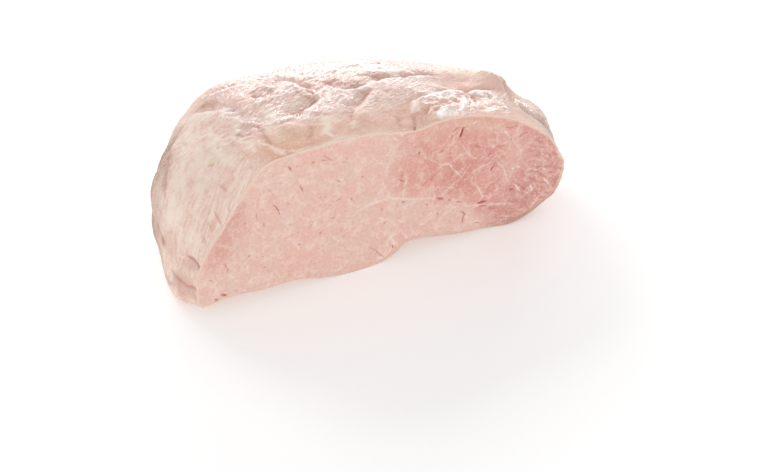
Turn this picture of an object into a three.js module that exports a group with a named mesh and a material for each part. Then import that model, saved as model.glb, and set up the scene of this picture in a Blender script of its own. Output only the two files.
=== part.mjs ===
// Half of a cooked ham, as cut: one flat cut face in front, the rounded end of the ham behind it,
// and a soft skin with folds all round. It lies on its flat underside.
import * as THREE from "three";

// Sizes are in millimetres. While the ham is made, x runs along the cut from its left end,
// y goes back from the cut face and z is up from the surface that the ham lies on.
const REACH = 160; // from the cut face to the rounded end
const AXIS_X = 140; // the long axis of the ham, where it meets the cut face
const AXIS_Z = 50;
const FLATNESS = 2.4; // how much wider than high the ham is
const BLEND = 62; // depth over which the cut's outline turns into the plain section
const END_DRIFT = -12; // how far the rounded end lies to the left of the axis

// The edge of the cut face as x, z points, from the left foot over the top to the right tip
// and back along the underside.
const CUT_EDGE = [
  [0, 14], [3, 43], [28, 81], [52, 112], [71, 117.5], [104, 118], [130, 117], [167, 109.5],
  [190, 111.5], [214, 108.5], [240, 99], [262, 85], [279, 69], [288, 51], [291.5, 41], [289.5, 30],
  [285, 18], [275, 12], [264, 5.5], [248, 1.2], [225, 4], [200, 7], [165, 13.5], [153, 6], [140, 1],
  [120, 0],
  [98, 2.5], [74, 8.6], [50, 8.6], [30, 11], [16, 9.8], [4, 8.6],
];
const CUT_MIDDLE = [110, 62]; // a point that sees the whole edge of the cut face

// The plain section behind the cut: how far it reaches from the axis on each side, how square
// its four corners are, and how bluntly and how roundly each side closes at the end.
const HALF = { left: 149, right: 166, top: 62, bottom: 52 };
const SQUARENESS = { topLeft: 2.5, topRight: 1.95, bottomLeft: 6.5, bottomRight: 4.5 };
const END_BLUNTNESS = { left: 2.75, right: 2.8, top: 3.4, bottom: 5 };
const END_ROUNDNESS = { left: 2.15, right: 1.85, top: 2.3, bottom: 2 };

// Broad swellings and hollows of the muscles: centre, reach and height.
const LOBES = [
  { x: 73, y: 134, z: 92, reach: 31, height: 5.7 },
  { x: 256, y: 58, z: 91, reach: 18, height: 6.4 },
  { x: -4, y: 26, z: 10, reach: 22, height: 9 },
  { x: 16, y: 100, z: 89, reach: 35, height: -3.8 },
  { x: 200, y: 118, z: 60, reach: 62, height: -2.8 },
  { x: 60, y: 150, z: 32, reach: 48, height: -3.2 },
];

// Rounded humps and hollows of the skin, smaller than the lobes.
const HUMPS = [
  { x: 107, y: 84, z: 108, reach: 15, height: 2.2 },
  { x: 132, y: 56, z: 111, reach: 15, height: 1.8 },
  { x: 78, y: 88, z: 106, reach: 13, height: 1.4 },
  { x: 58, y: 108, z: 99, reach: 12, height: -1.8 },
  { x: 145, y: 98, z: 105, reach: 16, height: -1.4 },
  { x: 218, y: 56, z: 103, reach: 24, height: -2.4 },
  { x: 184, y: 18, z: 111, reach: 22, height: -1 },
  { x: 84, y: 26, z: 115, reach: 17, height: -1.2 },
  { x: 284, y: 30, z: 66, reach: 14, height: 1.2 },
  { x: 278, y: 47, z: 82, reach: 12, height: -6 },
  { x: 287, y: 60, z: 73, reach: 12, height: -4.2 },
  { x: 1, y: 86, z: 54, reach: 14, height: 1.7 },
  { x: 20, y: 111, z: 70, reach: 16, height: -2.6 },
  { x: -5, y: 68, z: 24, reach: 24, height: -1 },
];

// Folds of the skin. Each is a line of x, y, z points. left and right are how far its hollow
// reaches to either side of the line as seen from outside, and depth is how deep it goes. lip is
// how high the skin on the right stands up beside it, and run is how far that lip takes to run
// out. A fold with a depth below 0 is a ridge.
const FOLDS = [
  {
    line: [[94, 117, 102], [107, 107, 104], [117, 97, 106], [121, 82, 109], [130, 76, 110]],
    left: 7, right: 4, depth: 3.4, lip: 1.8, run: 14,
  },
  {
    line: [[98, 46, 112], [103, 54, 111], [109, 57, 111], [117, 61, 111], [125, 65, 110]],
    left: 8, right: 4.5, depth: 2.3, lip: 1.8, run: 12,
  },
  {
    line: [[135, 88, 109], [139, 76, 110], [144, 65, 110], [155, 67, 110], [165, 72, 108]],
    left: 6, right: 4, depth: 2.5, lip: 2.4, run: 16,
  },
  {
    line: [[160, 70, 110], [176, 73, 107], [191, 72, 105], [208, 73, 102], [226, 69, 100]],
    left: 7, right: 4, depth: 2.8, lip: 2.8, run: 22,
  },
  {
    line: [[127, 20, 116], [136, 36, 113], [147, 46, 112], [156, 54, 111], [162, 61, 110]],
    left: 5, right: 4, depth: 1.7, lip: 1.3, run: 16,
  },
  {
    line: [[80, 93, 105], [89, 88, 107], [94, 88, 107], [101, 93, 107]],
    left: 7, right: 4, depth: 2, lip: 1.2, run: 8,
  },
  {
    line: [[44, 114, 91], [53, 104, 97], [60, 95, 101], [65, 87, 103], [71, 78, 106]],
    left: 7, right: 4, depth: 1.8, lip: 1.4, run: 8,
  },
  {
    line: [[87, 50, 110], [95, 42, 112], [99, 34, 114], [107, 32, 115], [117, 25, 116]],
    left: 4.5, right: 4, depth: 0.7, lip: 0.2, run: 9,
  },
  {
    line: [[176, 22, 110], [174, 13, 110], [172, 8, 110], [169, 3, 109], [165, -4, 109]],
    left: 3.5, right: 3.5, depth: 1.3, lip: 0.6, run: 6,
  },
  {
    line: [[174, 18, 110], [177, 26, 110], [181, 33, 110], [189, 37, 109], [203, 40, 107]],
    left: 4, right: 4, depth: 1.8, lip: 2.2, run: 18,
  },
  {
    line: [[198, 40, 108], [215, 41, 105], [228, 40, 102], [240, 40, 99], [256, 41, 94]],
    left: 4.5, right: 4, depth: 1.8, lip: 2.6, run: 20,
  },
  {
    line: [[286, 10, 56], [279, 18, 71], [268, 27, 84], [265, 40, 88], [262, 56, 90], [256, 76, 86]],
    left: 4.5, right: 4, depth: 2, lip: 1.4, run: 12,
  },
  {
    line: [[236, 83, 94], [246, 76, 94], [252, 64, 96], [262, 51, 94]],
    left: 4.5, right: 4.5, depth: -1.8, lip: 0, run: 1,
  },
  {
    line: [[150, 108, 102], [166, 100, 103], [184, 103, 100], [200, 96, 99]],
    left: 5, right: 4, depth: 1.2, lip: 1, run: 12,
  },
  {
    line: [[60, 128, 94], [72, 121, 99], [84, 118, 101]],
    left: 4.5, right: 4, depth: 1, lip: 0.9, run: 8,
  },
  {
    line: [[-4, 27, 43], [1, 17, 44], [3, 8, 44], [3, -2, 43]],
    left: 3, right: 6, depth: 1.8, lip: 0, run: 1,
  },
  {
    line: [[-8, 30, 27], [-6, 18, 25], [-4, 10, 25], [0, -3, 25]],
    left: 3.5, right: 4, depth: 1.6, lip: 0.5, run: 5,
  },
  {
    line: [[-11, 31, 16], [-9, 22, 17], [-6, 12, 14]],
    left: 3.5, right: 3.5, depth: 1.1, lip: 0.4, run: 5,
  },
  {
    line: [[-4, 63, 50], [-6, 57, 46], [-7, 50, 42], [-8, 42, 36]],
    left: 3.5, right: 4, depth: 1.5, lip: 0.9, run: 8,
  },
  {
    line: [[22, 97, 80], [13, 81, 80], [4, 63, 77], [-1, 51, 72]],
    left: 5, right: 4, depth: 1.2, lip: 0.7, run: 9,
  },
  {
    line: [[43, 110, 90], [8, 96, 60], [6, 104, 24]],
    left: 6, right: 4, depth: 1.8, lip: 1.4, run: 12,
  },
  {
    line: [[287, 18, 60], [300, 52, 48], [284, 88, 56]],
    left: 6, right: 4, depth: 2.2, lip: 1.6, run: 14,
  },
  {
    line: [[297, 40, 22], [295, 70, 30], [279, 96, 22]],
    left: 5, right: 4, depth: 1.8, lip: 1.4, run: 12,
  },
  {
    line: [[30, 128, 40], [60, 146, 52], [95, 157, 58], [130, 159, 50]],
    left: 8, right: 4.5, depth: 2.4, lip: 1.8, run: 16,
  },
  {
    line: [[150, 152, 28], [185, 151, 44], [215, 140, 46], [240, 129, 38]],
    left: 7, right: 4, depth: 2.2, lip: 1.6, run: 14,
  },
  {
    line: [[110, 147, 84], [140, 152, 76], [175, 142, 80]],
    left: 6, right: 4, depth: 1.8, lip: 1.4, run: 12,
  },
];
const FOLD_TAPER = 0.22; // the share of a fold's length over which each of its ends fades

// Low swells between the folds.
const SWELL_COUNT = 7;
const SWELL_LENGTH = 44; // the longest wave; each next one is shorter
const SWELL_SHORTER = 0.84;
const SWELL_HEIGHT = 0.42;

// The grid of the skin: samples along the visible upper edge, samples along the underside,
// and rings from the cut face to the end.
const UPPER_SAMPLES = 106;
const UNDER_SAMPLES = 22;
const RINGS = 44;

const HAM = { color: 0xdfb3a6, roughness: 0.5, metalness: 0 };

function smooth(from, to, value) {
  return THREE.MathUtils.smoothstep(value, from, to);
}

// A closed curve through the points of the cut's edge.
function cutCurve() {
  const points = CUT_EDGE.map(([x, z]) => new THREE.Vector3(x, 0, z));
  return new THREE.CatmullRomCurve3(points, true, "catmullrom", 0.5);
}

// Shares of the curve's length at which it is sampled: closer over the top, where the folds
// are, than along the underside.
function edgeShares(curve) {
  const lengths = curve.getLengths(800);
  const total = lengths[lengths.length - 1];
  const tip = CUT_EDGE.findIndex(([x]) => x === Math.max(...CUT_EDGE.map(([other]) => other)));
  const tipShare = lengths[Math.round((tip / CUT_EDGE.length) * 800)] / total;
  const shares = [];
  for (let i = 0; i < UPPER_SAMPLES; i += 1) {
    shares.push((tipShare * i) / UPPER_SAMPLES);
  }
  for (let i = 0; i < UNDER_SAMPLES; i += 1) {
    shares.push(tipShare + ((1 - tipShare) * i) / UNDER_SAMPLES);
  }
  return shares;
}

// A value that changes smoothly round the section, from its four sides' values.
function aroundSection(sides, across, up) {
  const level = across < 0 ? sides.left : sides.right;
  const upright = up < 0 ? sides.bottom : sides.top;
  return level * across * across + upright * up * up;
}

// Distance from the axis to the plain section's edge in one direction.
function plainRadius(across, up) {
  const side = across < 0 ? HALF.left : HALF.right;
  const height = up < 0 ? HALF.bottom : HALF.top;
  const corners = up < 0
    ? [SQUARENESS.bottomLeft, SQUARENESS.bottomRight]
    : [SQUARENESS.topLeft, SQUARENESS.topRight];
  const power = across < 0 ? corners[0] : corners[1];
  const level = Math.abs((across * FLATNESS) / side) ** power;
  const upright = Math.abs(up / height) ** power;
  return (level + upright) ** (-1 / power);
}

// How far swellings, each with a centre, a reach and a height, together lift a point.
function liftAt(point, swellings) {
  let lift = 0;
  for (const swelling of swellings) {
    const apart = point.distanceToSquared(swelling);
    lift += swelling.height * Math.exp(-apart / swelling.reach ** 2);
  }
  return lift;
}

// The smooth body of the ham: edge is a point on the cut's edge, and back goes from 0 at the
// cut face to 1 at the rounded end.
function bodyPoint(edge, back) {
  const offX = (edge.x - AXIS_X) / FLATNESS;
  const offZ = edge.z - AXIS_Z;
  const edgeRadius = Math.hypot(offX, offZ);
  const across = offX / edgeRadius;
  const up = offZ / edgeRadius;

  const y = REACH * Math.sin((back * Math.PI) / 2);
  const depth = y / REACH;
  const bluntness = aroundSection(END_BLUNTNESS, across, up);
  const roundness = aroundSection(END_ROUNDNESS, across, up);
  const closing = Math.max(0, 1 - depth ** bluntness) ** (1 / roundness);
  const section = THREE.MathUtils.lerp(edgeRadius, plainRadius(across, up), smooth(0, BLEND, y));
  const radius = section * closing;
  const point = new THREE.Vector3(
    AXIS_X + END_DRIFT * depth ** 2 + radius * across * FLATNESS,
    y,
    AXIS_Z + radius * up,
  );

  const turn = smooth(0.45, 1, depth);
  const outward = new THREE.Vector3(across * (1 - turn), turn, up * (1 - turn / 2)).normalize();
  point.addScaledVector(outward, liftAt(point, LOBES) * smooth(0, 12, y));
  point.z = Math.max(0, point.z);
  return point;
}

// Where a point of the skin lies beside a line of points: its distance along the skin, whether it
// is on the left of the line as seen from outside, and its share of the way along the line.
function besideLine(point, normal, line) {
  const corners = line.map((corner) => new THREE.Vector3(...corner));
  const lengths = corners.slice(1).map((corner, i) => corner.distanceTo(corners[i]));
  const total = lengths.reduce((sum, length) => sum + length, 0);
  let beside = { distance: Infinity, left: true, share: 0 };
  let passed = 0;
  for (let i = 0; i < lengths.length; i += 1) {
    const run = new THREE.Vector3().subVectors(corners[i + 1], corners[i]).normalize();
    const apart = new THREE.Vector3().subVectors(point, corners[i]);
    const along = THREE.MathUtils.clamp(apart.dot(run), 0, lengths[i]);
    apart.addScaledVector(run, -along);
    const sunk = apart.dot(normal);
    const left = run.cross(apart).dot(normal) > 0;
    const flat = apart.addScaledVector(normal, -sunk).length();
    const distance = Math.hypot(flat, 2 * Math.max(Math.abs(sunk) - 5, 0));
    if (distance < beside.distance) {
      beside = { distance, left, share: (passed + along) / total };
    }
    passed += lengths[i];
  }
  return beside;
}

// The folds together: each a hollow that rises slowly on the left and to a lip on the right.
function foldRelief(point, normal) {
  let relief = 0;
  for (const fold of FOLDS) {
    const { distance, left, share } = besideLine(point, normal, fold.line);
    const fading = smooth(0, FOLD_TAPER, share) * smooth(0, FOLD_TAPER, 1 - share);
    const reach = left ? fold.left : fold.right;
    const hollow = Math.exp(-((distance / reach) ** 2));
    const raised = left ? 0 : (1 - hollow) * Math.exp(-distance / fold.run);
    relief += fading * (fold.lip * raised - fold.depth * hollow);
  }
  return relief;
}

// Gentle uneven swells from waves that cross at the golden angle.
function swellRelief(point) {
  const goldenAngle = Math.PI * (3 - Math.sqrt(5));
  let relief = 0;
  for (let i = 0; i < SWELL_COUNT; i += 1) {
    const heading = new THREE.Vector3(
      Math.cos(i * goldenAngle),
      Math.sin(i * goldenAngle),
      Math.cos(2 * i * goldenAngle),
    ).normalize();
    const waveLength = SWELL_LENGTH * SWELL_SHORTER ** i;
    relief += SWELL_HEIGHT * Math.sin((heading.dot(point) * 2 * Math.PI) / waveLength + i);
  }
  return relief;
}

// Rows of points from the cut face to the end, before the relief.
function bodyRows(curve, shares) {
  const edge = shares.map((share) => curve.getPointAt(share));
  const rows = [];
  for (let ring = 0; ring < RINGS; ring += 1) {
    rows.push(edge.map((point) => bodyPoint(point, ring / RINGS)));
  }
  return rows;
}

// The outward direction of the skin at one point of the grid.
function rowNormal(rows, ring, column) {
  const count = rows[ring].length;
  const round = new THREE.Vector3().subVectors(
    rows[ring][(column + 1) % count],
    rows[ring][(column - 1 + count) % count],
  );
  const before = rows[Math.max(0, ring - 1)][column];
  const after = rows[Math.min(RINGS - 1, ring + 1)][column];
  return round.cross(new THREE.Vector3().subVectors(after, before)).normalize();
}

// One point of the finished skin. The cut stays flat and the underside stays on the surface.
function skinPoint(rows, ring, column) {
  const point = rows[ring][column].clone();
  const normal = rowNormal(rows, ring, column);
  if (ring === 0) {
    normal.setY(0).normalize();
  }
  const swells = swellRelief(point) * smooth(0, 30, point.y);
  const relief = foldRelief(point, normal) + liftAt(point, HUMPS) + swells;
  const clearOfGround = smooth(0, 10, point.z);
  const clearOfCut = THREE.MathUtils.lerp(0.4, 1, smooth(0, 8, point.y));
  point.addScaledVector(normal, relief * clearOfGround * clearOfCut);
  point.z = Math.max(0, point.z);
  return point;
}

// The whole closed skin: the flat cut face, the rings and the point where the end closes.
function hamGeometry() {
  const curve = cutCurve();
  const shares = edgeShares(curve);
  const rows = bodyRows(curve, shares);
  const count = shares.length;
  const points = [];
  for (let ring = 0; ring < RINGS; ring += 1) {
    for (let column = 0; column < count; column += 1) {
      points.push(skinPoint(rows, ring, column));
    }
  }
  const end = points.length;
  points.push(bodyPoint(curve.getPointAt(0), 1));

  const middle = points.length;
  points.push(new THREE.Vector3(CUT_MIDDLE[0], 0, CUT_MIDDLE[1]));

  const faces = [];
  for (let ring = 0; ring + 1 < RINGS; ring += 1) {
    for (let column = 0; column < count; column += 1) {
      const next = (column + 1) % count;
      const here = ring * count;
      const beyond = here + count;
      faces.push(here + column, here + next, beyond + column);
      faces.push(here + next, beyond + next, beyond + column);
    }
  }
  const last = (RINGS - 1) * count;
  for (let column = 0; column < count; column += 1) {
    const next = (column + 1) % count;
    faces.push(middle, next, column);
    faces.push(last + column, last + next, end);
  }

  const geometry = new THREE.BufferGeometry().setFromPoints(points);
  geometry.setIndex(faces);
  geometry.computeBoundingBox();
  const box = geometry.boundingBox;
  const boxCentre = box.getCenter(new THREE.Vector3());
  geometry.translate(-boxCentre.x, -boxCentre.y, -box.min.z);
  geometry.computeVertexNormals();
  return geometry;
}

function makeHam() {
  const ham = new THREE.Mesh(hamGeometry(), new THREE.MeshStandardMaterial(HAM));
  ham.name = "cooked_ham";
  return ham;
}

const cookedHam = new THREE.Group();
cookedHam.add(makeHam());

export default cookedHam;
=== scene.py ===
"""Half of a cooked ham on a pale floor: its fine surface, meat and skin, the light and the camera."""
import math

import bpy
import numpy as np
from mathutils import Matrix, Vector, geometry


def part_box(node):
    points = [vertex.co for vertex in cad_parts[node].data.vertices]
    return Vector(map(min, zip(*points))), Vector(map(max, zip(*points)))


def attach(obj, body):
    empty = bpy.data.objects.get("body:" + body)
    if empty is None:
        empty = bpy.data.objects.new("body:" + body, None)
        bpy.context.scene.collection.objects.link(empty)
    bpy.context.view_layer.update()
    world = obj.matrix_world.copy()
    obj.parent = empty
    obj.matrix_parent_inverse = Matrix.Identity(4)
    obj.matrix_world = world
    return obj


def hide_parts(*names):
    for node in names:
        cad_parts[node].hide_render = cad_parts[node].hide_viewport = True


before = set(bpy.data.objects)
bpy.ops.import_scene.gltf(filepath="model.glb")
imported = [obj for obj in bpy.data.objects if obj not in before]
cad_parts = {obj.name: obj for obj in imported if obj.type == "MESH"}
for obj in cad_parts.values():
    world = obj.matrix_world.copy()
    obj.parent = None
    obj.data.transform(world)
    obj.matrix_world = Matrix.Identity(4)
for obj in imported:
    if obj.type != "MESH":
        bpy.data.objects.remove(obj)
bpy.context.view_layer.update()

# Lengths are in millimetres until a mesh is made. x runs along the cut from its left end, y goes
# back from the cut face and z is up from the floor.
METRES = 0.001

# The body of the ham, as in the solid. Its sections are drawn round an axis that runs straight back,
# with their widths divided by the flatness. The cut's section passes into a plain one over the blend,
# and the end drifts to one side.
REACH = 160.0
AXIS_X, AXIS_Z = 140.0, 50.0
FLATNESS = 2.4
BLEND = 62.0
END_DRIFT = -12.0
# Points of the cut's edge, x and z, from the foot at the left over the top and back underneath.
CUT_EDGE = [
    (0, 14), (3, 43), (28, 81), (52, 112), (71, 117.5), (104, 118), (130, 117), (167, 109.5),
    (190, 111.5), (214, 108.5), (240, 99), (262, 85), (279, 69), (288, 51), (291.5, 41), (289.5, 30),
    (285, 18), (275, 12), (264, 5.5), (248, 1.2), (225, 4), (200, 7), (165, 13.5), (153, 6), (140, 1),
    (120, 0), (98, 2.5), (74, 8.6), (50, 8.6), (30, 11), (16, 9.8), (4, 8.6),
]
# The plain section: how far it reaches from the axis on each side, how square its corners are, and
# how bluntly and how roundly each side closes at the end.
HALF = {"left": 149, "right": 166, "top": 62, "bottom": 52}
SQUARENESS = {"top left": 2.5, "top right": 1.95, "bottom left": 6.5, "bottom right": 4.5}
END_BLUNTNESS = {"left": 2.75, "right": 2.8, "top": 3.4, "bottom": 5}
END_ROUNDNESS = {"left": 2.15, "right": 1.85, "top": 2.3, "bottom": 2}

# Broad swellings and hollows: centre, reach and height.
LOBES = [
    ((73, 134, 92), 31, 5.7),
    ((256, 58, 91), 18, 6.4),
    ((-4, 26, 10), 22, 9),
    ((16, 100, 89), 35, -3.8),
    ((200, 118, 60), 62, -2.8),
    ((60, 150, 32), 48, -3.2),
]
LOBE_START = 12  # the lobes are full this far behind the cut
END_TURN = 0.45  # from this share of the depth on, the skin turns to face back

# Lines that a fold shares with its painted shade, a greyish brown streak or a thin dark crease line.
LEFT_END_LINE = [(22, 97, 80), (13, 81, 80), (4, 63, 77), (-1, 51, 72)]
LEFT_BULGE_LINE = [(-4, 63, 50), (-6, 57, 46), (-7, 50, 42), (-8, 42, 36)]
TOP_LINE = [(101, 30, 115), (96, 18, 116), (94, 8, 117)]
NICK_LINE = [(178, 12, 110), (176, 6, 110), (173, -2, 109)]
UPPER_FOOT_LINE = [(-1, 22, 44), (1, 15, 44), (3, 7, 44), (4, -3, 44)]
MIDDLE_FOOT_LINE = [(-9, 29, 26), (-7, 20, 25), (-5, 12, 24), (-4, 9, 23)]
INNER_FOOT_LINE = [(-4, 11, 23), (-2, 5, 25), (0, -4, 27)]
LOWER_FOOT_LINE = [(-11, 31, 16), (-9, 22, 17), (-6, 12, 14)]

# Folds of the skin. Each is a line of x, y, z points, then how far its hollow reaches to the left
# and to the right of the line as seen from outside, its depth, how high the lip on its right
# stands, and how far that lip takes to run out. A fold with a negative depth is a ridge.
FOLDS = [
    ([(94, 117, 102), (107, 107, 104), (117, 97, 106), (121, 82, 109), (130, 76, 110)],
     7, 2.5, 3.4, 1.8, 14),
    ([(119, 69, 110), (124, 73, 110), (130, 76, 110), (136, 80, 109)], 4, 2, 2.0, 0.9, 8),
    ([(98, 46, 112), (103, 54, 111), (109, 57, 111), (117, 61, 111), (125, 65, 110)], 8, 4, 2.3, 1.8, 12),
    ([(135, 88, 109), (139, 76, 110), (144, 65, 110), (155, 67, 110), (165, 72, 108)], 6, 3, 2.5, 2.4, 16),
    ([(160, 70, 110), (176, 73, 107), (191, 72, 105), (208, 73, 102), (226, 69, 100)], 7, 3, 2.8, 2.8, 22),
    ([(127, 20, 116), (136, 36, 113), (147, 46, 112), (156, 54, 111), (162, 61, 110)], 5, 3, 1.7, 1.3, 16),
    ([(80, 93, 105), (89, 88, 107), (94, 88, 107), (101, 93, 107)], 7, 3, 2.0, 1.2, 8),
    ([(44, 114, 91), (53, 104, 97), (60, 95, 101), (65, 87, 103), (71, 78, 106)], 7, 2, 1.8, 1.4, 8),
    ([(58, 84, 103), (64, 78, 104), (69, 67, 106), (74, 60, 108), (80, 55, 109)], 3, 1.5, 0.9, 0.5, 6),
    ([(58, 89, 102), (64, 83, 104), (71, 72, 106)], 2.5, 1.5, 0.9, 0.8, 5),
    ([(87, 50, 110), (95, 42, 112), (99, 34, 114), (107, 32, 115), (117, 25, 116)], 4, 2.5, 0.7, 0.2, 9),
    ([(74, 34, 111), (76, 42, 111), (80, 47, 110), (85, 44, 111), (91, 36, 113)], 3, 2.5, 0.5, 0.2, 8),
    ([(72, 60, 107), (71, 46, 110), (69, 32, 113), (68, 13, 116)], 2.5, 2.5, 0.6, 0.1, 6),
    (TOP_LINE, 2.5, 1.5, 0.6, 0.3, 5),
    ([(84, 40, 112), (86, 26, 115), (80, 12, 117)], 3, 2, 0.4, 0.2, 6),
    ([(176, 22, 110), (174, 13, 110), (172, 8, 110), (169, 3, 109), (165, -4, 109)], 1.2, 1.3, 1.1, 0.5, 6),
    (NICK_LINE, 1.2, 1.2, 0.5, 0.2, 5),
    ([(164, 20, 110), (161, 10, 111), (160, 2, 111)], 2, 2, 1.0, 0.6, 6),
    ([(174, 18, 110), (177, 26, 110), (181, 33, 110), (189, 37, 109), (203, 40, 107)], 3, 2.5, 1.3, 1.8, 18),
    ([(198, 40, 108), (215, 41, 105), (228, 40, 102), (240, 40, 99), (256, 41, 94)], 3.5, 2.5, 1.8, 2.6, 20),
    ([(228, 42, 102), (227, 31, 103), (226, 16, 105)], 2.5, 2.5, 1.6, 0.6, 6),
    ([(286, 10, 56), (279, 18, 71), (272, 20, 79), (268, 27, 84), (265, 40, 88), (262, 56, 90),
      (256, 76, 86)], 4, 3, 1.2, 1.0, 12),
    ([(236, 83, 94), (246, 76, 94), (252, 64, 96), (262, 51, 94)], 4, 4, -1.8, 0, 1),
    ([(150, 108, 102), (166, 100, 103), (184, 103, 100), (200, 96, 99)], 5, 3, 1.2, 1.0, 12),
    ([(60, 128, 94), (72, 121, 99), (84, 118, 101)], 4, 2, 1.0, 0.9, 8),
    (UPPER_FOOT_LINE, 1.0, 4, 1.2, 0, 1),
    ([(-6, 30, 35), (-1, 17, 38), (3, 4, 42)], 4, 2, 0.5, 0.6, 8),
    (MIDDLE_FOOT_LINE, 1.0, 3, 1.0, 0.4, 5),
    (INNER_FOOT_LINE, 1.0, 2.5, 0.9, 0.3, 5),
    (LOWER_FOOT_LINE, 1.2, 2.5, 0.7, 0.4, 5),
    (LEFT_BULGE_LINE, 2, 3, 1.6, 0.9, 8),
    (LEFT_END_LINE, 5, 4, 1.2, 0.7, 9),
    ([(43, 110, 90), (26, 103, 78), (10, 97, 62), (6, 99, 44), (6, 104, 24)], 8, 6, 1.7, 1.4, 12),
    ([(287, 18, 58), (293, 34, 56), (297, 52, 52), (293, 71, 53), (284, 88, 57)], 8, 6, 1.3, 1.2, 14),
    ([(289, 26, 30), (295, 44, 38), (293, 62, 44)], 6, 4, 1.0, 0.8, 10),
    ([(288, 96, 44), (280, 106, 58), (270, 112, 66)], 7, 5, 1.2, 1.0, 10),
    ([(297, 40, 22), (297, 56, 27), (295, 70, 29), (289, 84, 27), (279, 96, 22)], 7, 5, 1.5, 1.4, 12),
    ([(30, 128, 40), (44, 138, 47), (60, 146, 53), (78, 153, 57), (95, 157, 57), (130, 159, 50)],
     10, 6, 2.1, 1.8, 16),
    ([(150, 152, 28), (167, 153, 37), (185, 151, 43), (200, 146, 46), (215, 140, 45),
      (240, 129, 38)], 9, 6, 1.9, 1.6, 14),
    ([(110, 147, 84), (124, 151, 79), (140, 152, 77), (158, 148, 78), (175, 142, 81)], 8, 6, 1.5, 1.4, 12),
    ([(52, 140, 82), (66, 143, 78), (82, 150, 76), (98, 154, 70)], 6, 5, 1.0, 0.9, 10),
    ([(196, 140, 70), (214, 133, 68), (230, 124, 70), (246, 112, 66)], 7, 5, 1.2, 1.0, 10),
    ([(60, 148, 26), (84, 156, 24), (108, 158, 28)], 6, 5, 1.0, 0.9, 10),
]

# Rounded humps and hollows of the skin: centre, reach and height.
HUMPS = [
    ((107, 84, 108), 15, 2.2),
    ((132, 56, 111), 15, 1.8),
    ((78, 88, 106), 13, 1.4),
    ((58, 108, 99), 12, -1.8),
    ((145, 98, 105), 16, -1.4),
    ((218, 56, 103), 24, -2.4),
    ((184, 18, 111), 22, -1.0),
    ((84, 26, 115), 17, -1.2),
    ((263, 51, 94), 7, 1.6),
    ((284, 30, 66), 15, 2.4),
    ((262, 58, 90), 12, 1.8),
    ((278, 47, 82), 12, -6.0),
    ((287, 60, 73), 12, -4.2),
    ((1, 86, 54), 14, 1.7),
    ((20, 111, 70), 16, -2.6),
    ((-5, 68, 24), 24, -1.0),
]
# Where the skin is smoother than elsewhere: centre and reach.
CALM_PLACES = [((168, 36, 110), 34), ((218, 58, 103), 26), ((240, 56, 98), 24), ((84, 26, 115), 16)]
SMOOTH_RIM = (20, 48)  # it's also smoother near the cut, and turns rough between these depths
RELIEF_START = (-4, 14)  # the humps and the fine relief come in between these depths
# The skin keeps to the smooth body at the floor, and partly so at the cut: up to what height, up to
# what depth, and the share of the relief that the cut's edge has.
STEADY_HEIGHT, STEADY_DEPTH, STEADY_SHARE = (0, 10), (0, 8), 0.4
# Torn skin round the right tip of the cut: centre and reach.
RAGGED_TIP = ((291, 4, 34), 26)
# The glossy crumpled patches on the right of the top: the line that each follows and half its width.
GLOSSY_PATCHES = [
    ([(199, 20, 109), (216, 20, 107), (239, 22, 100)], 19),
    ([(268, 32, 86), (275, 27, 78), (283, 24, 70)], 10),
]
GLOSS_FADE, GLOSS_OVER = 4, 1  # the gloss fades from so far inside the edge to so far outside it
# The white of the second patch's lumps is a painted highlight.
SMALL_PATCH = ((276, 27, 78), 14)  # the middle and reach of the second one's white lumps

# Lumps of the larger glossy patch and the crevices between them: the line that each follows, half
# its width and its height or depth.
PATCH_LUMPS = [
    ([(192, 31, 110), (196, 31, 109), (206, 33, 108), (216, 35, 105), (222, 31, 104)], 5, 1.2),
    ([(228, 31, 102), (234, 33, 101), (241, 30, 98), (247, 24, 96)], 5, 1.2),
    ([(176, 22, 110), (179, 27, 110), (183, 31, 110), (190, 32, 110)], 3.2, 1.3),
    ([(189, 3, 111), (193, 9, 111), (198, 12, 111), (204, 15, 110)], 4.2, 1.2),
    ([(204, 0, 110), (208, 6, 109), (212, 12, 108), (219, 24, 105)], 3, 1.0),
    ([(215, 5, 108), (219, 9, 107), (227, 16, 104), (236, 21, 101)], 4, 0.4),
    ([(222, 3, 106), (229, 4, 103), (235, 5, 101)], 1.5, 0.8),
    ([(240, 22, 99), (246, 17, 96), (247, 10, 95)], 4.5, 0.6),
    ([(184, 6, 111), (190, 4, 111), (196, 2, 111), (203, 1, 110)], 1.4, 0.5),
    ([(200, 26, 109), (207, 26, 108), (213, 27, 107)], 2.6, 0.8),
]
PATCH_CREVICES = [
    ([(226, 37, 103), (224, 32, 103), (222, 26, 104), (220, 18, 106)], 1.5, 1.3),
    ([(183, 14, 111), (188, 20, 111), (197, 21, 110), (204, 22, 109)], 1.5, 1.0),
    ([(212, 24, 108), (210, 16, 109), (206, 10, 110), (204, 4, 110)], 1.3, 1.1),
    ([(240, 31, 98), (240, 27, 98), (238, 22, 99)], 1.1, 0.9),
    ([(216, 3, 108), (221, 6, 106), (227, 9, 104)], 1.0, 0.7),
    ([(189, 13, 111), (198, 17, 110), (203, 20, 109), (205, 13, 110)], 1.3, 0.9),
    ([(228, 27, 103), (231, 22, 102), (229, 12, 103)], 1.2, 0.6),
]

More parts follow.
